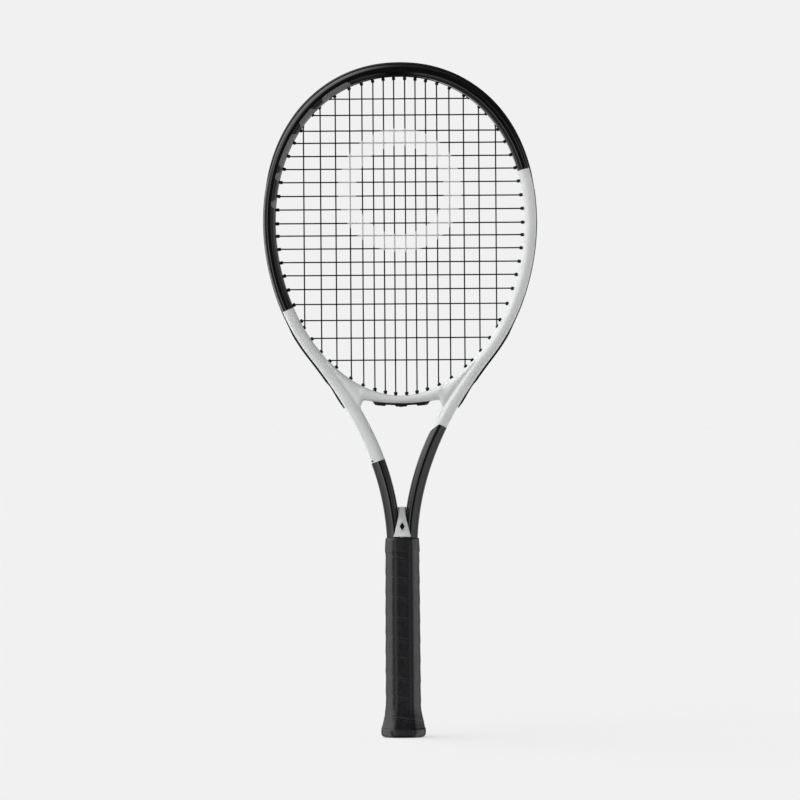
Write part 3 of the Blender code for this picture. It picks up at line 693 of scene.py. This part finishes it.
def black_shaft(side, black):
    """The black lacquer on one shaft; the right one's upper edge is chamfered on its inner side."""
    paint_z = LEFT_SHAFT_PAINT_Z if side < 0 else RIGHT_SHAFT_PAINT_Z
    top, foot = length_at(paint_z, side), length_at(SHAFT_END_Z + 0.5 * MM, side)
    rings = []
    for number, run in enumerate([0.0] + stations(0.0, abs(foot - top), 2.0 * MM)):
        fade = max(0.0, 1 - run / CHAMFER_FADE) if side > 0 else 0.0

        def shift(share):
            return CHAMFER * ramp(-share, 0.20, 0.95) ** 1.3 * fade

        rings.append(tube_ring(top + side * run, PAINT_STEP if number else 0.0, shift))
    return loft("frame_lacquer_shaft", rings, black)


def paint_dot(face, grey):
    """A plain dot on the white lacquer, just above the left shaft's paint edge."""
    z = LEFT_SHAFT_PAINT_Z + 2.0 * MM
    point, normal = spot(length_at(z, -1))
    at = point + normal * tube_width(z) * 0.37
    foot = np.array([at[0], face * (BEAM_HALF_DEPTH * 0.915), at[1]])
    profile = [mm(-0.6, 1.1), mm(0.14, 1.1), mm(0.2, 1.0)]
    return turned("paint_dot", profile, foot, (0.0, face, 0.0), grey)


def white_tube(side, white):
    """The white part of one side of the hoop, which reaches a little under the black lacquer."""
    low_z = LEFT_SHAFT_PAINT_Z if side < 0 else RIGHT_SHAFT_PAINT_Z
    high_z = LEFT_HEAD_PAINT_Z if side < 0 else RIGHT_HEAD_PAINT_Z
    ends = sorted((length_at(low_z - PAINT_OVERLAP, side), length_at(high_z + PAINT_OVERLAP, side)))
    lengths = stations(*ends, 2.5 * MM)
    return loft("white_tube", [tube_ring(s) for s in lengths], white)


def bridge_ring(x):
    """The bridge's outline at x: a ridge near its upper edge, and a broad lower face."""
    low, high = bridge_low(x), head_z_below(x)
    floor = inner_edge_z(abs(x)) - 4 * MM if abs(x) > CORNER_START else low
    low = max(low, floor)
    tall = high - low
    corners = [
        (high, 0.0),
        (high, 5.4 * MM),
        (high - tall * 0.16, 9.3 * MM),
        (high - tall * 0.52, 10.9 * MM),
        (low + tall * 0.14, 9.2 * MM),
        (low, 6.2 * MM),
        (low, 0.0),
    ]
    cuts = [0, *[tall * 0.2] * 5, 0]
    return [(x, depth, z) for z, depth in both_sides(round_corners(corners, cuts))]


def bridge_web(white):
    reach = CORNER_START + 1.6 * CORNER_RUN
    while head_z_below(reach) - inner_edge_z(reach) > 1.0 * MM:
        reach += 0.5 * MM
    xs = np.linspace(-reach, reach, 121)
    return loft("bridge_web", [bridge_ring(float(x)) for x in xs], white)


def white_frame(white):
    """The white hoop sides and the bridge, melted into one skin."""
    body = merge(white_tube(-1, white), [white_tube(1, white), bridge_web(white)])
    body.name = "frame_lacquer_white"
    remesh = body.modifiers.new("melt", "REMESH")
    remesh.mode = "VOXEL"
    remesh.voxel_size = MELT_VOXEL
    smooth = body.modifiers.new("ease", "SMOOTH")
    smooth.factor = 0.5
    smooth.iterations = MELT_STEPS
    settle(body)
    body.data.shade_smooth()
    return body


# ---- strips and bumper

def path_ring(length, half_section):
    """A ring from the half of a section on the +Y side, listed from the inner wall to the outer one."""
    point, normal = spot(length)
    back = [(across, -depth) for across, depth in reversed(half_section)]
    ring = []
    for across, depth in list(half_section) + back:
        at = point + normal * across
        ring.append((at[0], depth, at[1]))
    return ring


def strip_section(z):
    """Half of a side strip's section: a channel whose walls stand proud of the tube."""
    half = tube_width(z) / 2
    floor = half - GROOVE_DEPTH + 0.05 * MM
    proud = STRIP_PROUD + STRIP_LOW_PROUD * ramp(-z, -STRIP_LOW_FROM, -STRIP_LOW_FULL)
    for top, foot, rise in STRIP_PADS:
        proud += rise * MM * ramp(z, (foot - 4) * MM, foot * MM) * ramp(-z, -(top + 10) * MM, -top * MM)
    rail = STRIP_HALF - STRIP_RAIL
    corners = [
        (floor, 0.0),
        (floor, STRIP_HALF),
        (half + proud, STRIP_HALF + 0.1 * MM),
        (half + proud, rail),
        (floor + STRIP_BASE, rail),
        (floor + STRIP_BASE, 0.0),
    ]
    return round_corners(corners, mm(0, 0.1, 0.3, 0.25, 0.2, 0), steps=3)[1:-1]


def side_strip(side, ends, look):
    name = "grommet_strip_" + ("left" if side < 0 else "right")
    bounds = sorted((length_at(BUMPER_END_Z - GAP, side), length_at(STRIP_END_Z, side)))
    lengths = stations(*bounds, 1.6 * MM)
    rings = [path_ring(s, strip_section(spot(s)[0][1])) for s in lengths]
    strip = loft(name, rings, look)
    merge(strip, barrels(ends, look))
    piece(strip, name)


def head_strip(ends, look):
    bounds = [length_at(BUMPER_END_Z, -1), length_at(BUMPER_END_Z, 1)]
    floor = HEAD_TUBE_WIDTH / 2 - GROOVE_DEPTH + 0.05 * MM
    section = [(floor, STRIP_HALF), (floor + HEAD_BAND, STRIP_HALF)]
    rings = [path_ring(s, section) for s in stations(*bounds, 4.0 * MM)]
    strip = loft("grommet_strip_head", rings, look)
    merge(strip, barrels(ends, look))
    piece(strip, "grommet_strip_head")


def bumper_section(proud, spread_share):
    """Half of the bumper's section: a lip in the groove under a crown that is spread over the tube."""
    half = HEAD_TUBE_WIDTH / 2 + PAINT_STEP
    top = half + proud
    rail = STRIP_HALF - STRIP_RAIL
    floor = half - GROOVE_DEPTH + 2 * GAP + HEAD_BAND
    wide = BUMPER_HALF * spread_share
    corners = [
        (floor, 0.0),
        (floor, STRIP_HALF),
        (half, STRIP_HALF),
        (half, GROOVE_HALF + 0.6 * MM),
        (half, wide - 0.4 * MM),
        (half + 0.1 * MM, wide + 0.1 * MM),
        (half + min(0.5 * MM, proud * 0.4), wide + 0.1 * MM),
        (top, wide - min(1.6 * MM, proud)),
        (top, rail + 0.3 * MM),
        (top - 0.5 * MM, rail),
        (floor + 0.6 * MM, rail),
        (floor + 0.6 * MM, 0.0),
    ]
    cuts = mm(0, 0.2, 0.2, 0.2, 0.2, 0.2, 0.5, 1.2, 0.2, 0.2, 0.2, 0)
    return round_corners(corners, cuts, steps=3)[1:-1]


def bumper_guard(look):
    """The bumper, thinned towards its two ends."""
    start, end = length_at(BUMPER_END_Z, -1), length_at(BUMPER_END_Z, 1)
    rings = []
    for s in stations(start, end, 2.5 * MM):
        near_end = min(s - start, end - s)
        proud = BUMPER_PROUD - 0.15 * MM - 1.75 * MM * (1 - ramp(near_end, 0.0, 95 * MM)) ** 1.5
        width_share = 1 - 0.45 * (1 - ramp(near_end, 0.0, 26 * MM)) ** 2
        rings.append(path_ring(s, bumper_section(proud, width_share)))
    bumper = loft("bumper_guard", rings, look)
    piece(bumper, "bumper_guard")


def throat_bump(x):
    """How far the throat strip bulges below its foot at x, to guard the loop between two main strings."""
    depths = []
    for centre, depth in ((0.0, 1.0), (20.4 * MM, 0.6), (-20.4 * MM, 0.6)):
        away = ramp(abs(x - centre), 1.2 * MM, 4.6 * MM)
        depths.append(depth * (0.5 + 0.5 * math.cos(math.pi * away)))
    return max(depths)


def throat_strip(ends, look):
    rings = []
    for x in np.linspace(-THROAT_STRIP_HALF_LENGTH, THROAT_STRIP_HALF_LENGTH, 121):
        x = float(x)
        top = bridge_low(x) + 0.6 * MM
        taper = ramp(THROAT_STRIP_HALF_LENGTH - abs(x), 0.0, 4 * MM)
        foot = bridge_low(x) - 0.4 * MM - (1.6 * MM + 1.7 * MM * throat_bump(x)) * taper
        half = THROAT_STRIP_HALF
        corners = [(top, 0), (top, half), (foot, half), (foot, half - 1.3 * MM)]
        corners += [(foot + 0.4 * MM, half - 1.5 * MM), (foot + 0.4 * MM, 0)]
        outline = both_sides(round_corners(corners, mm(0, 0.2, 0.5, 0.3, 0.2, 0)))
        rings.append([(x, depth, z) for z, depth in outline])
    strip = loft("grommet_strip_throat", rings, look)
    merge(strip, barrels(ends, look))
    piece(strip, "grommet_strip_throat")


# ---- strings

def loop_line():
    """The line along the groove that the string's loops follow."""
    sunk = GROOVE_DEPTH - GAP - STRIP_BASE - STRING_CLEARANCE - STRING_RADIUS
    low = STRIP_END_Z - 10 * MM
    line = []
    for s in stations(length_at(low, -1), length_at(low, 1), 3 * MM):
        point, normal = spot(s)
        line.append(point + normal * (tube_width(point[1]) / 2 - sunk))
    return line


LOOP_LINE = loop_line()


def exit_point(start, direction):
    """Where a straight line from start crosses the loop line."""
    for a, b in zip(LOOP_LINE, LOOP_LINE[1:]):
        run = b - a
        cross = direction[0] * run[1] - direction[1] * run[0]
        if abs(cross) < 1e-12:
            continue
        away = a - start
        ahead = (away[0] * run[1] - away[1] * run[0]) / cross
        share = (away[0] * direction[1] - away[1] * direction[0]) / cross
        if ahead > 0 and -1e-6 <= share <= 1 + 1e-6:
            return start + direction * ahead
    raise ValueError("a hole misses the groove")


def string_end(wall, along, direction, y, region):
    """One end of a straight run: wall is where it meets the frame, along its outward direction."""
    shortest = SHORTEST_POKE if wall[1] > HEAD_Z else SHORTEST_LOW_POKE
    turn = wall - along * BARREL_POKE * max(shortest, float(along @ direction) ** 2)
    if region == "throat":
        below = GAP + STRIP_BASE + STRING_CLEARANCE + STRING_RADIUS
        leave = np.array([turn[0], bridge_low(turn[0]) - below])
    else:
        leave = exit_point(turn, direction)
        if region == "side":
            region = "bumper" if leave[1] > BUMPER_END_Z else ("right" if leave[0] > 0 else "left")
    return {"turn": turn, "leave": leave, "dir": direction, "y": y, "region": region}


def main_ends():
    """(lower end, upper end) of each main run, from left to right."""
    ends = []
    for x in [-x for x in MAIN_X[::-1]] + MAIN_X:
        up, down = np.array([0.0, 1.0]), np.array([0.0, -1.0])
        wall = np.array([x, head_z_below(x)])
        if abs(x) <= MAIN_X[THROAT_MAINS - 1]:
            low = string_end(wall, down, down, PLANE_OFFSET, "throat")
        else:
            slant = SHOULDER * [math.copysign(1, x), 1]
            low = string_end(wall, down, slant, PLANE_OFFSET, "side")
        wall = np.array([x, head_z_above(x)])
        high = string_end(wall, up, head_normal(x, wall[1]), PLANE_OFFSET, "bumper")
        ends.append((low, high))
    return ends


def cross_ends():
    """(left end, right end) of each cross run, from the top down."""
    ends = []
    for z in CROSS_Z:
        pair = []
        for side in (-1, 1):
            wall, out = np.array([side * head_x(z), z]), np.array([side, 0.0])
            pair.append(string_end(wall, out, head_normal(*wall), -PLANE_OFFSET, "side"))
        ends.append(tuple(pair))
    return ends


def between(a, b):
    """The loop line's points between two exits, thinned to at least 3 mm from each."""
    points = np.array(LOOP_LINE)
    i, j = (int(np.argmin(np.linalg.norm(points - e["leave"], axis=1))) for e in (a, b))
    step = 1 if j >= i else -1
    chord = b["leave"] - a["leave"]
    reach = float(np.linalg.norm(chord))
    chord = chord / reach
    middle = [points[k] for k in range(i, j + step, step)]
    return [p for p in middle if 3 * MM < (p - a["leave"]) @ chord < reach - 3 * MM]


def woven(start, stop, y, marks, axis, first_sign):
    """Points of one straight run, which passes in turn behind and in front of the strings at marks."""
    a, b = start["turn"], stop["turn"]
    low, high = min(a[axis], b[axis]), max(a[axis], b[axis])
    swings = [(m, first_sign * WEAVE * (-1) ** k) for k, m in marks if low < m < high]
    knots = [(low, y), *swings, (high, y)]
    if a[axis] > b[axis]:
        knots = knots[::-1]
    points = []
    for (m, y_here), (n, y_next) in zip(knots, knots[1:]):
        for t in np.linspace(0, 1, 7)[:-1]:
            ease = 0.5 - 0.5 * math.cos(math.pi * t)
            share = (m + (n - m) * t - a[axis]) / (b[axis] - a[axis])
            at = a + (b - a) * share
            points.append((at[0], y_here + (y_next - y_here) * ease, at[1]))
    points.append((b[0], y, b[1]))
    return points


def string_route(ends, marks, axis):
    """The whole string, run by run: out of one end's hole, through the bed, and into the next one's."""
    route = []
    side = 0
    for number, pair in enumerate(ends):
        start, stop = pair[side], pair[1 - side]
        y = start["y"]
        sign = (-1) ** number * (1 if axis == 1 else -1)
        route.append((start["leave"][0], y, start["leave"][1]))
        route += woven(start, stop, y, marks, axis, sign)
        route.append((stop["leave"][0], y, stop["leave"][1]))
        if number + 1 < len(ends) and stop["region"] != "throat":
            following = ends[number + 1][1 - side]
            route += [(p[0], math.copysign(LOOP_OFFSET, y), p[1]) for p in between(stop, following)]
        side = 1 - side
    return route


def bend(route, reach, least=math.radians(14)):
    """The route with its sharp turns rounded."""
    route = [np.array(p) for p in route]
    cuts = [0.0]
    for a, b, c in zip(route, route[1:], route[2:]):
        u, v = (b - a) / np.linalg.norm(b - a), (c - b) / np.linalg.norm(c - b)
        cuts.append(reach if math.acos(max(-1.0, min(1.0, float(u @ v)))) > least else 0.0)
    return round_corners(route, cuts + [0.0], steps=6)


def strings(mains, crosses, look):
    zs = sorted(CROSS_Z)
    xs = [-x for x in MAIN_X[::-1]] + MAIN_X
    last = len(zs) - 1
    main_route = string_route(mains, [(k, z) for k, z in enumerate(zs)], 1)
    cross_route = string_route(crosses, [(k + last, x) for k, x in enumerate(xs)], 0)
    for name, route in (("main_string", main_route), ("cross_string", cross_route)):
        string = sweep(name, bend(route, 1.3 * MM), STRING_RADIUS, look)
        piece(string, name)


def barrels(ends, look):
    """The grommet barrels of a strip, each with a pear-shaped knob round the string."""
    made = []
    for number, end in enumerate(ends):
        axis = np.array([end["dir"][0], 0.0, end["dir"][1]])
        foot = np.array([end["turn"][0], end["y"], end["turn"][1]])
        long = float(np.linalg.norm(end["leave"] - end["turn"])) - STRING_RADIUS
        swell = MM * (LOW_SWELL if end["turn"][1] < LOW_SWELL_Z else 1.0)
        knob = [(reach * MM, radius * swell) for reach, radius in BARREL_KNOB]
        profile = [mm(0.1, 0.60), *knob, mm(1.8, 1.65), mm(2.6, 1.45), (long, 1.45 * MM)]
        made.append(turned(f"barrel_{number}", profile, foot, axis, look))
    return made


# ---- handle

def octagon_ring(half, z, soft, steps=5):
    """A rounded octagon at height z."""
    x, y = half
    corners = [(x, -y / 2), (x, y / 2), (x / 2, y), (-x / 2, y), (-x, y / 2), (-x, -y / 2)]
    corners += [(-x / 2, -y), (x / 2, -y)]
    outline = round_corners(corners, [soft] * 8, steps=steps, closed=True)
    return [(p[0], p[1], z) for p in outline]


def resample(ring, count):
    """The closed ring as a number of points evenly spread along it."""
    ring = np.array(ring + [ring[0]])
    steps = np.linalg.norm(np.diff(ring, axis=0), axis=1)
    lengths = np.concatenate([[0.0], np.cumsum(steps)])
    marks = np.linspace(0, lengths[-1], count + 1)[:-1]
    return np.array([[np.interp(m, lengths, ring[:, k]) for k in range(3)] for m in marks])


def grip_half(z):
    """Half sizes of the grip's octagon at height z: straight, then flared over the butt cap."""
    marks = [9.3, 12, 15, 18, 21, 24, 28, 33, 40, 90, 140, 190]
    wide = [22.3, 21.6, 20.8, 20.1, 19.5, 18.9, 18.3, 17.95, 17.85, 17.75, 17.55, 17.2]
    half = float(np.interp(z / MM, marks, wide)) * MM
    return half, half - 2.1 * MM


def grip_relief(phase):
    """Height of the strip's skin; phase is 0 at the edge that laps the last turn, and 1 at the other."""
    lap = GRIP_LAP * ((1 - phase) ** 1.5 - 0.4)
    bead = GRIP_BEAD * math.exp(-(((phase - 0.93) / 0.035) ** 2))
    seam = 1 - ramp(min(phase, 1 - phase), 0.0, 0.035)
    return (lap + bead) * (1 - seam) - GRIP_SEAM * seam


def grip_wrap(look):
    """The grip strip's helix: each turn laps over the one below it."""
    low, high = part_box("grip_wrap")
    rings = []
    for z in np.arange(low.z, high.z + 0.1 * MM, GRIP_STEP):
        z = float(z)
        ring = resample(octagon_ring(grip_half(z), z, 3.4 * MM), GRIP_POINTS)
        for point in ring:
            turn = math.atan2(point[0], -point[1]) / (2 * math.pi)
            phase = ((z - GRIP_SEAM_Z) / GRIP_PITCH + turn) % 1.0
            outwards = point[:2] / np.linalg.norm(point[:2])
            point[:2] += outwards * grip_relief(phase)
        rings.append([tuple(p) for p in ring])
    for x, y, z in ((15.6, 13.6, high.z), (15.6, 13.6, 31 * MM), (20.4, 18.2, low.z)):
        ring = resample(octagon_ring((x * MM, y * MM), z, 2 * MM), GRIP_POINTS)
        rings.append([tuple(p) for p in ring])
    wrap = loft("grip_wrap", rings, look, closed=True, angle=50)
    piece(wrap, "grip_wrap")


def finishing_tape(look):
    low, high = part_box("finishing_tape")
    rings = []
    for half, share in ((17.0, 0), (17.25, 0.15), (17.25, 0.85), (17.0, 1), (16.7, 1), (16.7, 0)):
        z = low.z + (high.z - low.z) * share
        rings.append(octagon_ring((half * MM, (half - 2.0) * MM), z, 3 * MM))
    tape = loft("finishing_tape", rings, look, closed=True)
    piece(tape, "finishing_tape")


def grip_collar(look):
    """A stretched rubber ring, with rolled edges and a faint waist."""
    low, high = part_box("grip_collar")
    profile = [
        (0.00, 17.3), (0.01, 17.6), (0.05, 17.75), (0.12, 17.8), (0.40, 17.6), (0.62, 17.4),
        (0.80, 17.2), (0.90, 17.15), (0.96, 17.0), (1.00, 16.7), (1.00, 16.4), (0.5, 16.6), (0.0, 16.9),
    ]
    rings = []
    for share, half in profile:
        z = low.z + (high.z - low.z) * share
        rings.append(octagon_ring((half * MM, (half - 1.75) * MM), z, 3.0 * MM))
    collar = loft("grip_collar", rings, look, closed=True, angle=50)
    piece(collar, "grip_collar")


def butt_cap(look):
    """The flared cap, with the opening for its door in the bottom."""
    outer = [
        (0.0, 18.8), (0.3, 19.9), (0.9, 21.0), (1.8, 21.9), (3.0, 22.5), (4.5, 22.75), (6.5, 22.78),
        (8.3, 22.75), (8.9, 22.4), (9.05, 20.0), (14.0, 19.0), (20.0, 17.3), (27.5, 15.6),
    ]
    rings = [octagon_ring((h * MM, (h - 2.2) * MM), z * MM, 4.2 * MM) for z, h in outer]
    inner = [(27.5, 14.7, 12.5), (3.0, 14.7, 12.5), (3.0, 11.2, 8.2), (0.5, 11.2, 8.2), (0.0, 11.7, 8.7)]
    rings += [octagon_ring((x * MM, y * MM), z * MM, 1.6 * MM) for z, x, y in inner]
    cap = loft("butt_cap", rings, look, closed=True, angle=50)
    piece(cap, "butt_cap")


def butt_cap_door(look):
    """The cap's door: a plate with a plain raised ring, and its spigot."""
    low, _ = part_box("butt_cap_door")
    levels = [(0.0, 10.2), (0.15, 10.6), (0.5, 10.9), (2.1, 10.9), (2.2, 9.6), (8.2, 9.5), (8.5, 9.1)]
    rings = [octagon_ring((x * MM, (x - 3.0) * MM), low.z + z * MM, 1.5 * MM) for z, x in levels]
    door = loft("butt_cap_door", rings, look, angle=50)
    ring_profile = []
    for k in range(9):
        angle = math.pi * k / 8
        ring_profile.append((5.0 * MM + 0.55 * MM * math.cos(angle), 0.28 * MM * math.sin(angle)))
    rings = []
    for k in range(64):
        turn = 2 * math.pi * k / 64
        x, y, base = math.cos(turn), math.sin(turn), low.z + 0.03 * MM
        rings.append([(r * x, r * y, base - up) for r, up in ring_profile])
    merge(door, [loft("door_ring", rings, look, closed=True)])
    piece(door, "butt_cap_door", body="cap_door")


# ---- badges

def badge(name, look, rim_look, dark):
    """A silver plate in a raised rim, with a plain dark lozenge."""
    low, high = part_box(name)
    side = -1 if low.y < 0 else 1
    near, far = sorted((abs(low.y), abs(high.y)))
    outline = [(8.9, 203.6), (7.1, 210.3), (5.3, 217.5), (3.7, 224.3), (2.8, 229.0), (2.8, 233.8)]
    outline = [(x * MM, z * MM) for x, z in outline]
    full = outline + [(-x, z) for x, z in reversed(outline)]
    full = round_corners(full, [0.6 * MM] + [0.8 * MM] * 10 + [0.6 * MM], steps=3, closed=True)
    centre = np.array([0.0, 214.0 * MM])

    def plate(part, shrink, levels, material_used):
        rings = []
        for inset, y in levels:
            ring = []
            for p in full:
                to_centre = centre - p
                ring.append(p + to_centre / np.linalg.norm(to_centre) * (inset + shrink))
            rings.append([(q[0], side * y, q[1]) for q in ring])
        return loft(part, rings, material_used, angle=30)

    top = far - 0.05 * MM
    rim = plate(name, 0.0, [(0, near), (0, top - 0.25 * MM), (0.2 * MM, top)], rim_look)
    crown = [(0, top - 0.1 * MM), (0, top + 0.03 * MM), (0.04 * MM, top + 0.05 * MM)]
    face = plate("face", 0.55 * MM, crown, look)
    middle, tall, wide = 214.5 * MM, 4.2 * MM, 2.7 * MM
    lozenge = [(0, middle - tall), (wide, middle), (0, middle + tall), (-wide, middle)]
    lozenge = round_corners(lozenge, [0.5 * MM] * 4, steps=3, closed=True)
    rings = [[(p[0], side * y, p[1]) for p in lozenge] for y in (top, far + 0.06 * MM)]
    mark = loft("mark", rings, dark, angle=30)
    merge(rim, [face, mark])
    piece(rim, name)


# ---- stage

def pale_floor():
    """A floor that runs out to a backdrop of the same tone, and throws no light up on the racket."""
    look = new_material("floor_paper", (FLOOR_ALBEDO,) * 3, 1.0, specular=0.0)
    shader = shader_of(look)
    shader.inputs["Emission Color"].default_value = (1.0, 1.0, 1.0, 1.0)
    shader.inputs["Emission Strength"].default_value = FLOOR_GLOW
    rim = []
    for k in range(FLOOR_SIDES):
        turn = 2 * math.pi * k / FLOOR_SIDES
        rim.append((FLOOR_RADIUS * math.cos(turn), FLOOR_RADIUS * math.sin(turn), -FLOOR_DROP))
    floor = add_mesh("floor", rim, [tuple(range(FLOOR_SIDES))], look)
    floor.visible_glossy = False
    floor.visible_diffuse = False


def elevations(angles):
    return [math.radians(angle) for angle in angles]


def studio():
    """A plain backdrop for the camera, and soft boxes left, right and above for everything else."""
    world = bpy.data.worlds.new("studio")
    bpy.context.scene.world = world
    world.use_nodes = True
    world.node_tree.nodes.clear()
    seen = add_node(world, "ShaderNodeBackground", Color=(BACKDROP,) * 3 + (1.0,))
    lit = add_node(world, "ShaderNodeBackground")
    choice = add_node(world, "ShaderNodeMixShader")
    out = add_node(world, "ShaderNodeOutputWorld")
    connect(world, add_node(world, "ShaderNodeLightPath").outputs["Is Camera Ray"], choice.inputs[0])
    connect(world, lit.outputs[0], choice.inputs[1])
    connect(world, seen.outputs[0], choice.inputs[2])
    connect(world, choice.outputs[0], out.inputs["Surface"])

    parts = add_node(world, "ShaderNodeSeparateXYZ")
    connect(world, add_node(world, "ShaderNodeTexCoord").outputs["Generated"], parts.inputs[0])
    x, y, z = parts.outputs
    depth = math_node(world, "ABSOLUTE", y)
    connect(world, key_and_round_light(world, x, depth, z), lit.inputs["Strength"])


def key_and_round_light(world, x, depth, z):
    """The light's strength in a direction, which is the same in front of the racket and behind it."""
    brightest = max(power for _, power in ROUND_LIGHT)
    turn = math_node(world, "ARCTAN2", x, depth)
    ring = add_node(world, "ShaderNodeValToRGB")
    connect(world, math_node(world, "MULTIPLY_ADD", turn, 1 / math.pi, 0.5), ring.inputs[0])
    stops = ring.color_ramp.elements
    while len(stops) < len(ROUND_LIGHT):
        stops.new(0.5)
    for stop, (degrees, power) in zip(stops, ROUND_LIGHT):
        stop.position = degrees / 180 + 0.5
        stop.color = (power / brightest,) * 3 + (1.0,)
    lift = math_node(world, "ARCSINE", z)
    over = remap(world, lift, elevations(ROUND_RISE), (brightest, 0.0), smooth=True)
    under = remap(world, lift, elevations(ROUND_FALL), smooth=True)
    around = math_node(world, "MULTIPLY", ring.outputs[0], math_node(world, "MULTIPLY", over, under))
    above = remap(world, lift, elevations(TOP_REACH), (0.0, TOP_LIGHT), smooth=True)
    size = math.sqrt(sum(c * c for c in KEY_FROM))
    nearness = math_node(world, "MULTIPLY", x, KEY_FROM[0] / size)
    nearness = math_node(world, "MULTIPLY_ADD", depth, -KEY_FROM[1] / size, nearness)
    nearness = math_node(world, "MULTIPLY_ADD", z, KEY_FROM[2] / size, nearness)
    key = remap(world, nearness, KEY_REACH, (0.0, KEY_LIGHT), smooth=True)
    soft = math_node(world, "ADD", around, above)
    return math_node(world, "ADD", soft, math_node(world, "ADD", key, FILL_LIGHT))


def camera():
    """A long lens, level with the middle of the racket, and rolled a little."""
    low, high = cad_box
    lens = bpy.data.cameras.new("camera")
    lens.type = "PERSP"
    lens.sensor_width = 36.0
    lens.lens = LENS
    lens.clip_end = 200.0
    eye = bpy.data.objects.new("camera", lens)
    bpy.context.scene.collection.objects.link(eye)
    eye.location = (CAMERA_X, -CAMERA_AWAY, (low.z + high.z) / 2 - CAMERA_LOWER)
    eye.rotation_euler = (math.radians(90), CAMERA_ROLL, 0)
    bpy.context.scene.camera = eye


def main():
    bpy.context.scene.view_settings.view_transform = "Standard"
    camera()
    pale_floor()
    studio()

    black = lacquer("black_lacquer", (0.004, 0.004, 0.005), (0.006, 0.006, 0.007), 0.15, 0.2)
    grey = lacquer("grey_lacquer", (0.15, 0.15, 0.155), (0.19, 0.19, 0.195), 0.34, 0.1)
    white = lacquer("white_lacquer", (0.79, 0.81, 0.80), (0.83, 0.85, 0.84), 0.32, 0.2)
    nylon = nylon_look()
    gut = string_look()
    leather = grip_look()
    rubber = rubber_look()
    shell = moulded_look("cap_plastic", (0.005, 0.005, 0.006), 0.36)
    vinyl = moulded_look("tape_vinyl", (0.012, 0.012, 0.012), 0.35)
    silver = badge_look()
    rim = lacquer("badge_rim", (0.66, 0.68, 0.68), (0.74, 0.76, 0.76), 0.3, 0.2)

    head = black_head(black)
    merge(head, [paint_dot(face, grey) for face in (1, -1)])
    blocks = [grey_block(a * MM, b * MM, face, grey) for a, b in GREY_BLOCKS for face in (1, -1)]
    merge(head, [black_shaft(-1, black), black_shaft(1, black), *blocks])
    piece(head, "frame_hoop")
    piece(white_frame(white), "throat_bridge")

    mains, crosses = main_ends(), cross_ends()
    ends = [end for pair in mains + crosses for end in pair]
    by_region = {r: [e for e in ends if e["region"] == r] for r in ("left", "right", "bumper", "throat")}
    side_strip(-1, by_region["left"], nylon)
    side_strip(1, by_region["right"], nylon)
    head_strip(by_region["bumper"], nylon)
    throat_strip(by_region["throat"], nylon)
    bumper_guard(nylon)
    strings(mains, crosses, gut)

    grip_wrap(leather)
    finishing_tape(vinyl)
    grip_collar(rubber)
    butt_cap(shell)
    butt_cap_door(shell)
    for name in ("badge_front", "badge_back"):
        badge(name, silver, rim, black)

    foam, steel = foam_look(), steel_look()
    carried = {
        "pallet_front": foam,
        "pallet_back": foam,
        "butt_cap_staple_front": steel,
        "butt_cap_staple_back": steel,
        "throat_wedge": moulded_look("wedge_plastic", (0.012, 0.012, 0.013), 0.4),
    }
    for name, look in carried.items():
        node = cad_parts[name]
        node.data.materials.clear()
        node.data.materials.append(look)


main()
